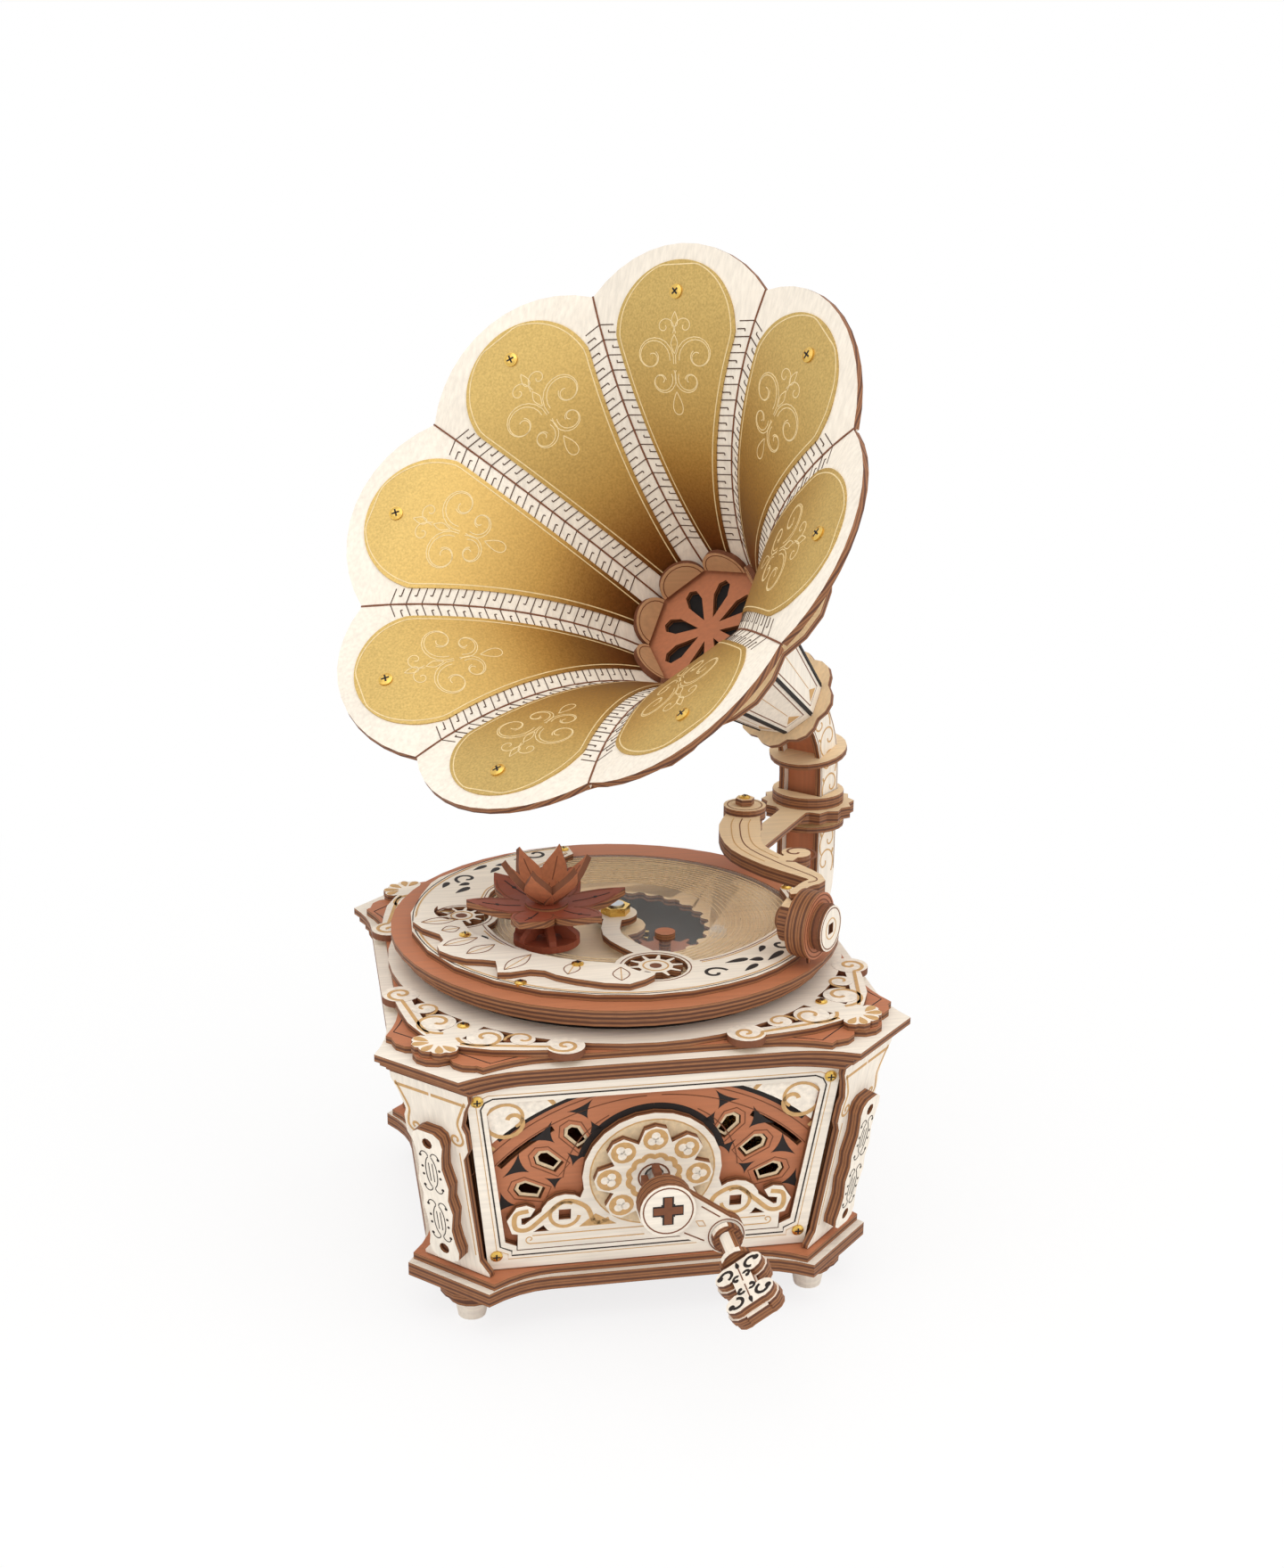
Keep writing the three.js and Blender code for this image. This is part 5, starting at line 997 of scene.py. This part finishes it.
def lidCorner(pen, top, under, raised):
    palm, inner, outer = lidCurls["palm"], lidCurls["inner"], lidCurls["outer"]
    for radius, sides, centre in ((5.0, 24, palm), (3.4, 20, inner)):
        pen.plate(ring(radius, sides, *centre), top, 0.06, creamMark, 0.02 - ply, burntMark)
    pen.plate(ring(5.3, 24, *outer), under, ply + 0.06, creamMark, 0.02, burntMark)
    pen.line(scroll((2.4, 76.5), palm, -420, 0.9), 1.0, raised, tanMark)
    branch = smoothLine([(5.5, 79.0), (11, 76.1), (20, 70.2), (25.5, 66.6)], 5)
    pen.line(branch + scroll(branch[-1], outer, -470, 0.7)[1:], 1.0, raised, tanMark)
    pen.line(scroll((13.6, 70.4), inner, 330, 0.6), 0.8, raised, tanMark)


def lidDetails():
    store = newStore()
    Pen(store).loop(earedOutline(2.2), 0.3, atHeight(tops["lidPanel"]), inkMark)
    for quarter in range(4):
        top, under, raised = (onDiagonal(quarter, height)
                              for height in (tops["ornament"], tops["lidPanel"], tops["ornament"] + 0.06))
        for side in (1, -1):
            lidCorner(Pen(store, side), top, under, raised)
        for lobe in range(-2, 3):
            angle = lobe * lid["lobeTurn"]
            x, y = lid["lobe"] * 0.75 * sin(angle), lid["palmette"] + lid["lobe"] * 0.3 * cos(angle)
            Pen(store).plate(teardrop(x, y, 4.6, 3.0, pi / 2 - angle), raised, 0.09, tanMark)
    makePiece("lid_details", store, inlays, "case", "cream_plywood")
    # a near-black disc on the lid under the platter: painted shadow in the gap below the turntable, seen through its
    # window
    shade = newStore()
    addPlate(shade, ring(lid["well"], 48), atHeight(tops["ornament"]), 0.25, 0.02)
    makePiece("platter_shadow_disc", shade, [lineMaterial("wellPaintedShadow", tint(34, 30, 28))], "case", "red_brown_plywood")


lidDetails()

# Platter: border lines, openwork, leaf veins, grooves, a clear knob
platter = {"rim": 60.6, "groove": 31.0, "grooves": 15, "grooveStep": 1.55, "grooveWidth": 0.2, "holeGap": 1.4,
           "knob": (27.1, -17.4)}
crescentInner = ((97, 0.86), (111, 0.74), (138, 0.68), (151, 0.666), (180, 0.645), (210, 0.64), (240, 0.65),
                 (270, 0.665), (293, 0.7), (311, 0.73), (331, 0.78), (346, 0.827), (358, 0.875),
                 (370, 0.9))  # angle, share of the rim
holes = {"a": (-45.143, 3.703, 8.0), "b": (4.043, -41.958, 9.0), "flower": (-22.541, -14.863, 10.2)}
crescentDrops = (
    (299, 48.6, 6.4, 1.9, 78), (299.5, 56.2, 5.6, 1.7, 104), (306.5, 51.6, 3.6, 2.2, 60), (310, 55.6, 7.4, 1.9, 96),
    (314, 50.4, 4.2, 1.6, 110), (330, 55.8, 5.4, 1.6, 92), (333, 51.6, 3.2, 1.9, 60), (343, 55.2, 4.6, 1.5, 90),
    (153, 50.6, 5.6, 2.0, 250), (150, 56.0, 4.4, 1.7, 275), (146, 52.4, 3.2, 2.0, 240), (132, 56.4, 5.2, 1.7, 268),
    (130, 50.8, 4.6, 1.8, 285), (124, 54.4, 3.2, 1.9, 250), (116, 55.0, 4.4, 1.4, 268), (196, 42.5, 3.2, 1.6, 90),
    (256, 44.0, 3.2, 1.6, 20))  # angle, radius, length, width, lean
crescentCurls = ((291.5, 52.6, 340), (323, 52.8, -340), (139, 53.4, -340), (107, 56.2, 340))  # angle, radius, sweep
leafVeins = ((176, 47.2, 52.5), (184, 47, 57.6), (192, 48, 53.4), (203, 46.4, 57.4), (212, 45.4, 55.4),
             (228, 44, 56.8), (246, 44, 52.5), (262, 46, 55))  # angle, inner and outer radius


def innerRuns(offset):  # the crescent's inner edge, in runs that stop at the holes
    line = smoothLine([polar(share * platter["rim"] + offset, radians(angle)) for angle, share in crescentInner], 5)
    runs = [[]]
    for x, y in line:
        if all(hypot(x - holeX, y - holeY) >= radius + platter["holeGap"] for holeX, holeY, radius in holes.values()):
            runs[-1].append((x, y))
        elif runs[-1]:
            runs.append([])
    return [run for run in runs if len(run) > 2]


def platterDetails():
    store = newStore()
    pen, top, leafTop = Pen(store), atHeight(tops["crescent"]), atHeight(tops["leaf"])
    for offset, width, mark in ((-1.1, 0.28, inkMark), (-2.0, 0.5, tanMark)):
        pen.line(arc(platter["rim"] + offset, 99, 368, steps=90), width, top, mark)
    for offset, width, mark in ((1.0, 0.28, burntMark), (1.9, 0.4, tanMark)):
        for run in innerRuns(offset):
            pen.line(run, width, top, mark)
    for angle, radius, length, width, lean in crescentDrops:
        middle = polar(radius, radians(angle))
        pen.plate(teardrop(*middle, length * 1.15, width * 1.6, radians(angle + lean)), top, 0.08, cutsAndShadeMark)
    for angle, radius, sweep in crescentCurls:
        middle = polar(radius, radians(angle))
        pen.line(scroll(polar(4.1, radians(angle + 90), *middle), middle, sweep, 1.0), 1.0, top, cutsAndShadeMark)
    for angle, inner, outer in leafVeins:
        for lean in (-2.6, 0, 2.6):
            vein = [polar(inner + (outer - inner) * k / 12, radians(angle + lean * sin(pi * k / 12)))
                    for k in range(13)]
            pen.line(vein, 0.26, leafTop, burntMark if lean else tanMark)
    for hole in ("a", "b"):
        x, y, radius = holes[hole]
        pen.loop(ring(radius + 0.9, 32, x, y), 0.3, top, burntMark)
    makePiece("platter_details", store, inlays, "turntable", "cream_plywood")
    knob = newStore()
    for radius, low, high in ((2.7, 0, 1.6), (1.9, 1.6, 2.6)):
        addPlate(knob, ring(radius, 24, *platter["knob"]), atHeight(tops["record"]), high, low)
    makePiece("clear_knob", knob, [clearSheet], "turntable", "clear_acrylic")
    gloss = lineMaterial("grooveGloss", tint(236, 208, 164), 0.2)
    grow("record_grooves", [(0, 0, (tops["record"] + 0.02) * mm)], [], {}, grooveTree(),
         {"Grooves": platter["grooves"], "First radius": platter["groove"] * mm, "Step": platter["grooveStep"] * mm,
          "Width": platter["grooveWidth"] * mm, "Gloss": gloss}, "turntable", "clear_acrylic")
    for hole, radius in (("a", 3.1), ("b", 3.5)):
        dial, middle, face = newStore(), holes[hole][:2], atHeight(tops["dial"])
        Pen(dial).loop(ring(radius, 24, *middle), 0.45, face, tanMark)
        Pen(dial).plate(ring(1.7, 16, *middle), face, 0.08, burntMark)
        makePiece("gear_" + hole + "_dial", dial, inlays, "gear_" + hole, "cream_plywood")


platterDetails()

# Flower: rounded inner petals and the lines on the pointed ones
flower = {"centre": (-22.541, -14.863, 0), "turn": -146.6, "root": 98.2, "inner": 17.0, "curl": 14, "cup": 0.03,
          "reach": 23.0, "half": 6.2, "sheet": 97.0, "rise": 3.4}
innerPetals = ((flower["inner"], 4.1, 34, 1.0, 1.25), (6.2, 2.9, 50, 0.6, 0.55))  # length, half, slope, start, taper
risePoints = ((0.0, 0.0), (0.25, 0.05), (0.5, 0.22), (0.72, 0.5), (0.88, 0.78), (1.0, 1.0))  # share out, share up


def flowerDetails():
    petals, lines = newStore(), newStore()
    middle = Vector(flower["centre"])
    for i in range(6):
        outward, across = spokes(radians(flower["turn"] + 60 * (i + 0.5)))

        def cup(steep, first):  # the petal leans out and then curls up
            def place(x, y, z):
                lean = radians(steep + flower["curl"] * y / flower["inner"])
                rooted = outward * (first + y * cos(lean)) + upAxis * (flower["root"] + y * sin(lean))
                above = (upAxis * cos(lean) - outward * sin(lean)) * (z + flower["cup"] * x * x)
                return (middle + across * x + rooted + above) * mm
            return place
        for length, half, steep, first, taper in innerPetals:
            swells = [sin(pi * (0.12 + 0.88 * k / 10)) ** (taper if k > 3 else 0.6) for k in range(11)]
            rows = [[(max(half * swell, 0.12) * (j / 3 - 1), length * k / 10) for j in range(7)]
                    for k, swell in enumerate(swells)]
            addSheet(petals, rows, cup(steep, first), 0.9, -0.9, terracottaMark, burntMark)
            stripe = [(0, length * (0.25 + 0.06 * k)) for k in range(10)]
            Pen(petals).line(stripe, 0.3, cup(steep, first), burntMark, high=0.98, low=0.8)

        def petalTop(x, y, z):
            reach = min(y / flower["reach"], 0.999)
            (start, low), (end, high) = max(pair for pair in zip(risePoints, risePoints[1:]) if pair[0][0] <= reach)
            rise = low + (high - low) * (y / flower["reach"] - start) / (end - start)
            return (middle + across * x + outward * y + upAxis * (flower["sheet"] + rise * flower["rise"] + z)) * mm
        Pen(lines).line([(0, 7.5 + 11 * k / 10) for k in range(11)], 0.35, petalTop, cutsAndShadeMark)
        Pen(lines).plate(ring(0.62, 12, 0, 14.2), petalTop, 0.1, cutsAndShadeMark)
        edgeLine = [(flower["half"] * wide - 1.0, flower["reach"] * share)
                    for share, wide in ((0.3, 0.88), (0.5, 1.0), (0.72, 0.8), (0.86, 0.47))]
        for side in (1, -1):
            Pen(lines, side).line(smoothLine(edgeLine, 4), 0.25, petalTop, burntMark)
    makePiece("flower_inner", petals, inlays, "flower", "red_brown_plywood")
    makePiece("flower_lines", lines, inlays, "flower", "red_brown_plywood")


flowerDetails()

# Crank and handle: the arm's outline and cross, the openwork of the paddle
crank = {"hub": (0.0, 35.5), "pin": (16.371, 25.468), "web": -82.0, "face": -84.0, "paddle": 22.0, "paddleFace": 3,
         "paddleStart": -98.3, "cross": 3.4, "pegFace": -70.5, "pegLength": 4.8}
# centre, radius, start and end of each curl, its width and the ball at its end
gripCurls = ((6.2, 3.8, 1.75, -170, 75, 0.9, 0.9), (2.9, 1.5, 0.85, -60, 170, 0.8, 0.6))
gripCollars = ((-82.3, 4.2), (-84.3, 4.2), (-96.3, 5.04), (-98.3, 5.04))  # y, radius


def upright(y):
    return lambda x, z, lift: Vector((x, y - lift, z)) * mm


def armDetail():
    store = newStore()
    pen, web, face = Pen(store), upright(crank["web"]), upright(crank["face"])
    hub, pin = Vector(crank["hub"]), Vector(crank["pin"])
    onwards = (pin - hub).normalized()
    across = Vector((-onwards.y, onwards.x))

    def onArm(*line):  # each point is a step to the side and a distance from the hub
        return [tuple(hub + onwards * distance + across * offset) for offset, distance in line]
    pen.line(onArm((4.4, 8.4), (4.0, 14.6)), 0.35, web, burntMark)
    pen.line(onArm((-4.4, 8.4), (-4.0, 14.6)), 0.35, web, burntMark)
    pen.loop(onArm((0, 9.4), (0.9, 11), (0, 12.6), (-0.9, 11)), 0.28, web, tanMark)
    pen.loop(ring(6.7, 32, *hub), 0.35, face, burntMark)
    x, y = crank["hub"]
    for wide, high, mark in ((3.0, 0.07, cutsAndShadeMark), (2.1, 0.11, burntMark)):
        half = crank["cross"] + wide / 4
        pen.line([(x, y - half), (x, y + half)], wide, face, mark, high=high)
        pen.line([(x - half, y), (x + half, y)], wide, face, mark, high=high + 0.01)
    pen.loop(ring(4.9, 28, *pin), 0.3, web, burntMark)
    for wide, tall in ((1.0, 4.0), (4.0, 1.0)):
        peg = [(x - wide, y - tall), (x + wide, y - tall), (x + wide, y + tall), (x - wide, y + tall)]
        pen.plate(peg, upright(crank["pegFace"]), 0, burntMark, -crank["pegLength"])
    makePiece("crank_details", store, inlays, "crank", "cream_plywood")


def gripDetail():
    store = newStore()
    pinX, pinZ = crank["pin"]
    turn = Matrix(((0, -1, 0), (cos(handleTilt), 0, sin(handleTilt)), (-sin(handleTilt), 0, cos(handleTilt))))
    middle = Matrix.Translation((pinX, crank["paddleStart"] - crank["paddle"] / 2, pinZ))
    matrix = middle @ turn.transposed().to_4x4()
    for sign in (1, -1):
        def place(x, y, z):
            return (matrix @ Vector((x, y, sign * (crank["paddleFace"] + z)))) * mm
        for end in (-1, 1):
            for side in (-1, 1):
                for x, y, radius, start, stop, width, ball in gripCurls:
                    curl = arc(radius, start, stop, x, y, 12)
                    Pen(store, end, side).line(curl, width, place, cutsAndShadeMark, high=0.09)
                    Pen(store, end, side).plate(ring(ball, 14, *curl[-1]), place, 0.1, cutsAndShadeMark)
            Pen(store, end).line([(0.8, 0), (8.6, 0)], 0.3, place, burntMark)
            Pen(store, end).plate(teardrop(9.4, 0, 2.9, 1.5, pi), place, 0.09, cutsAndShadeMark)
    for y, radius in gripCollars:
        Pen(store).loop(ring(radius - 0.5, 24, pinX, pinZ), 0.3, upright(y), burntMark, high=0.05, low=-0.05)
    makePiece("handle_details", store, inlays, "handle", "cream_plywood")


armDetail()
gripDetail()


# Tone arm and sound box
def toneArmDetails():
    store = newStore()
    pen, top = Pen(store), atHeight(arm["top"])
    pivot, needle, out = Vector(arm["pivot"]), Vector(arm["needle"]), Vector(arm["out"])
    reach, onwards = needle - pivot, Vector((-out.y, out.x))
    side = Vector((-reach.y, reach.x))
    bearing = needle - out * arm["bearing"]

    def onArm(distance, across):  # both are shares of the way from the pivot to the needle
        return tuple(pivot + reach * distance + side * across)
    line = [onArm(*shares) for shares in ((0.1, -0.035), (0.2, -0.07), (0.42, -0.1), (0.62, -0.03))]
    line += [tuple(bearing + onwards * arm["shield"] * share) for share in (1.45, 0.95)]
    path = smoothLine(line, 8)
    pen.line(path, 0.35, top, burntMark)
    inner = path[:len(path) * 5 // 8]
    for shift in (arm["beside"], -arm["beside"]):
        beside = []
        for (x, y), (u, v) in zip(inner, inner[1:]):
            size = hypot(u - x, v - y) or 1
            beside.append((x - (v - y) / size * shift, y + (u - x) / size * shift))
        pen.line(beside, 0.3, top, tanMark)
    pen.line(scroll(onArm(0.62, 0.01), onArm(0.53, 0.075), 460, 0.7), 0.7, top, burntMark)
    pen.loop(ring(5.4, 28, *pivot), 0.3, atHeight(tops["bracketCap"]), burntMark)
    makePiece("tone_arm_details", store, inlays, "tone_arm", "cream_plywood")


def soundBoxDetails():
    store = newStore()
    outX, outY = arm["out"]
    axle, across = Vector((outX, outY, 0)), Vector((-outY, outX, 0))
    middle = Vector((*arm["needle"], arm["middle"]))

    def onAxle(distance):
        return lambda x, y, z: (middle + axle * (distance + z) + across * x + Vector((0, 0, y))) * mm
    for distance, radius, width, mark in ((3.0, 8.9, 0.35, burntMark), (3.0, 7.6, 0.3, burntMark),
                                          (6.6, 5.9, 0.3, burntMark), (6.6, 3.0, 0.3, tanMark)):
        Pen(store).loop(ring(radius, 32), width, onAxle(distance), mark)
    Pen(store).loop(ring(6.62, 32), 0.5, onAxle(4.6), burntMark, high=0.9, low=-0.2)
    makePiece("sound_box_details", store, inlays, "sound_box", "terracotta_plywood")


toneArmDetails()
soundBoxDetails()

# Neck swirls, the stem's panels and a black disc behind the grille that paints the shade inside the stem
stemArt = {"low": 3.0, "high": 44.0, "margin": 2.0, "shadowDepth": 69.15, "shadowRadius": 19.0}
straight = neckShape["bendStart"] - neckShape["foot"]


def onNeck(face):  # y runs up the neck from its foot, and x away from the box
    def place(x, y, z):
        if y <= straight:
            point = diagonal * (neckShape["reach"] + x) + upAxis * (neckShape["foot"] + y)
        else:
            lean, radius = (y - straight) / neckShape["bend"], neckShape["bend"] + x
            point = (diagonal * (neckShape["reach"] - neckShape["bend"] + radius * cos(lean))
                     + upAxis * (neckShape["bendStart"] + radius * sin(lean)))
        return (point + sideways * face * (neckShape["half"] + z)) * mm
    return place


def stemRadius(y):
    return stem["wide"] - (stem["wide"] - stem["narrow"]) * y / stem["length"]


def onStem(turn, share):  # y runs down the stem from its mouth
    radial, tangent = spokes(turn)

    def place(x, y, z):
        outward = radial * (stemRadius(y) * share + z)
        return (hornMatrix @ (outward + tangent * x - upAxis * (stem["front"] + y))) * mm
    return place


def neckDetails():
    store, shadowDisc = newStore(), newStore()
    for face in (1, -1):
        place = onNeck(face)
        for k, y in enumerate(neckShape["swirls"]):
            pen = Pen(store, 1 if k % 2 else -1, height=y)
            pen.line(scroll((-3.6, -3.4), (1.2, 1.0), -430, 0.7), 0.55, place, tanMark)
            pen.plate(teardrop(-3.4, 2.4, 2.6, 1.2, 2.0), place, 0.08, tanMark)
        for x in (-neckShape["border"], neckShape["border"]):
            Pen(store).line([(x, y * 2.0) for y in range(-1, 29)], 0.22, place, burntMark)
    low, high = stemArt["low"], stemArt["high"]
    wideHalf, slimHalf = (stemRadius(y) * sin(sector) - stemArt["margin"] for y in (low, high))
    for i in range(horn["petals"]):
        angle, pen = horn["roll"] - sector * (2 * i + 1), Pen(store)
        place = onStem(angle, cos(sector))
        pen.loop([(-wideHalf, low), (wideHalf, low), (slimHalf, high), (-slimHalf, high)], 0.35, place, burntMark)
        for y, half, up in ((low + 1, wideHalf - 1.2, 5), (high - 1, slimHalf - 1.0, -4)):
            pen.plate([(-half, y), (half, y), (0, y + up)], place, 0.08, tanMark)
        pen.line([(0, low + 7), (0, high - 6)], 0.22, place, tanMark)
        pen.line([(0, 1.0), (0, 47.0)], 1.3, onStem(angle + sector, 1.0), cutsAndShadeMark, high=0.22, low=-0.8)
    # a near-black disc behind the grille: painted shade inside the stem, seen through the slots
    addPlate(shadowDisc, ring(stemArt["shadowRadius"], 32), flat(hornMatrix, -stemArt["shadowDepth"]), 0.2, -0.1)
    grilleShadowMaterial = lineMaterial("grilleShadow", tint(22, 16, 14), 0.8)
    makePiece("grille_shadow_disc", shadowDisc, [grilleShadowMaterial], "case", "red_brown_plywood")
    makePiece("neck_details", store, inlays, "case", "cream_plywood")


neckDetails()
print("details engraved")

# Screws
screw = {"head": 1.7, "hornHead": 2.15, "height": 0.8, "lid": (50, 48.5), "wall": ((48.4, 57.2), (42.9, 5.3))}
platterScrews = (("crescent", -7.1, 56.6), ("crescent", 55.2, 12.1), ("leaf", -17.7, -41.6),
                 ("crescent", -34.2, -47.4), ("leaf", -46, -15.7))


def screws():
    lidX, lidY = screw["lid"]
    case = [(atHeight(tops["ornament"])(x * lidX, y * lidY, 0), upAxis) for x in (-1, 1) for y in (-1, 1)]
    walls = [turned(frontMatrix, quarter) for quarter in range(4)]
    for x, y in screw["wall"]:
        case += [(flat(matrix)(side * x, y, ply), outwardOf(matrix)) for side in (-1, 1) for matrix in walls]
    case.append((atHeight(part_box("arm_bracket")[1].z / mm)(*arm["pivot"], 0), upAxis))
    petals = []
    for petal in range(horn["petals"]):
        here, above = (onPetal(petal)(0, -0.5, lift) for lift in (bell["goldThick"], 1.35))
        petals.append((here, (above - here).normalized()))
    turntable = [(atHeight(tops[sheet])(x, y, 0), upAxis) for sheet, x, y in platterScrews]
    tree = screwTree()
    for name, body, size, items in (("case", "case", "head", case), ("turntable", "turntable", "head", turntable),
                                    ("horn", "case", "hornHead", petals)):
        places, axes = zip(*items)
        grow("screws_" + name, places, [], {"axis": axes}, tree,
             {"Head radius": screw[size] * mm, "Head height": screw["height"] * mm, "Metal": brass,
              "Recess shade": cutsAndPaintedShade}, body, "brass")


screws()
print("screws set")

# Stage, light and camera
stageSet = {"floorHalf": 9.0, "world": 0.86, "floorNear": 0.1, "floorFar": 0.45, "nearGlow": 0.8}
lamps = {"key": ((-0.75, -0.85, 1.25), (0, 0, 0.12), 4.9, 1.8), "fill": ((1.1, -0.7, 0.6), (0, 0, 0.1), 4.6, 1.8),
         "above": ((0.1, -0.3, 1.6), (0, 0, 0.09), 6.0, 1.6)}  # place and aim in metres, power, size
view = {"yaw": -0.187353, "pitch": 0.311788, "roll": 0.0112686, "place": (-0.09583, -0.54543, 0.30589),
        "focalPixels": 2255.06, "longSide": 1759, "sensor": 36.0}  # in metres and radians


def seenRay(tree):  # 1 where the camera, a reflection or clear plastic looks straight at it
    camera, glossy, clear = (put(tree, "ShaderNodeLightPath", output="Is %s Ray" % kind)
                             for kind in ("Camera", "Glossy", "Transmission"))
    return maths(tree, "MAXIMUM", maths(tree, "MAXIMUM", camera, glossy), clear)


def floorPaper():
    material = bpy.data.materials.new("floorPaper")
    tree = emptyTree(material)
    paper = put(tree, "ShaderNodeBsdfDiffuse", {"Color": (0.9, 0.9, 0.9, 1)})
    glow = put(tree, "ShaderNodeEmission", {"Color": (1, 1, 1, 1), "Strength": 1.0})
    away = vectors(tree, "LENGTH", put(tree, "ShaderNodeTexCoord", output="Object"))
    far = put(tree, "ShaderNodeMapRange", {"Value": away, "From Min": stageSet["floorNear"],
                                           "From Max": stageSet["floorFar"], "To Min": stageSet["nearGlow"]})
    mix = put(tree, "ShaderNodeMixShader", {0: times(tree, seenRay(tree), far), 1: paper, 2: glow})
    addNode(tree, "ShaderNodeOutputMaterial", {"Surface": mix})
    return material


def makeStage():
    scene = bpy.context.scene
    low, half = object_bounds()[0].z, stageSet["floorHalf"]
    mesh = bpy.data.meshes.new("floor")
    corners = [(-half, -half, low), (half, -half, low), (half, half, low), (-half, half, low)]
    mesh.from_pydata(corners, [], [[0, 1, 2, 3]])
    mesh.materials.append(floorPaper())
    floor = linked("floor", mesh)
    scene.world = bpy.data.worlds.new("studio")
    tree = emptyTree(scene.world)
    soft = put(tree, "ShaderNodeBackground", {"Color": (1, 0.99, 0.975, 1), "Strength": stageSet["world"]})
    white = put(tree, "ShaderNodeBackground", {"Color": (1, 1, 1, 1), "Strength": 1.0})
    mix = put(tree, "ShaderNodeMixShader", {0: seenRay(tree), 1: soft, 2: white})
    addNode(tree, "ShaderNodeOutputWorld", {"Surface": mix})
    for name, (place, aim, power, size) in lamps.items():
        lamp = bpy.data.lights.new(name, "AREA")
        lamp.energy, lamp.size = power, size
        holder = linked(name, lamp)
        holder.location = place
        holder.rotation_mode = "QUATERNION"
        holder.rotation_quaternion = (Vector(aim) - Vector(place)).to_track_quat("-Z", "Y")
    scene.view_settings.view_transform = "Standard"


def makeCamera():
    flatRight, flatAhead = spokes(view["yaw"])
    ahead = flatAhead * cos(view["pitch"]) - upAxis * sin(view["pitch"])
    up = flatAhead * sin(view["pitch"]) + upAxis * cos(view["pitch"])
    right = flatRight * cos(view["roll"]) + up * sin(view["roll"])
    top = up * cos(view["roll"]) - flatRight * sin(view["roll"])
    lens = bpy.data.cameras.new("camera")
    lens.sensor_width = view["sensor"]
    lens.lens = view["focalPixels"] * view["sensor"] / view["longSide"]
    camera = linked("camera", lens)
    camera.matrix_world = Matrix.Translation(view["place"]) @ Matrix((right, top, -ahead)).transposed().to_4x4()
    bpy.context.scene.camera = camera


makeStage()
makeCamera()
print("stage set")
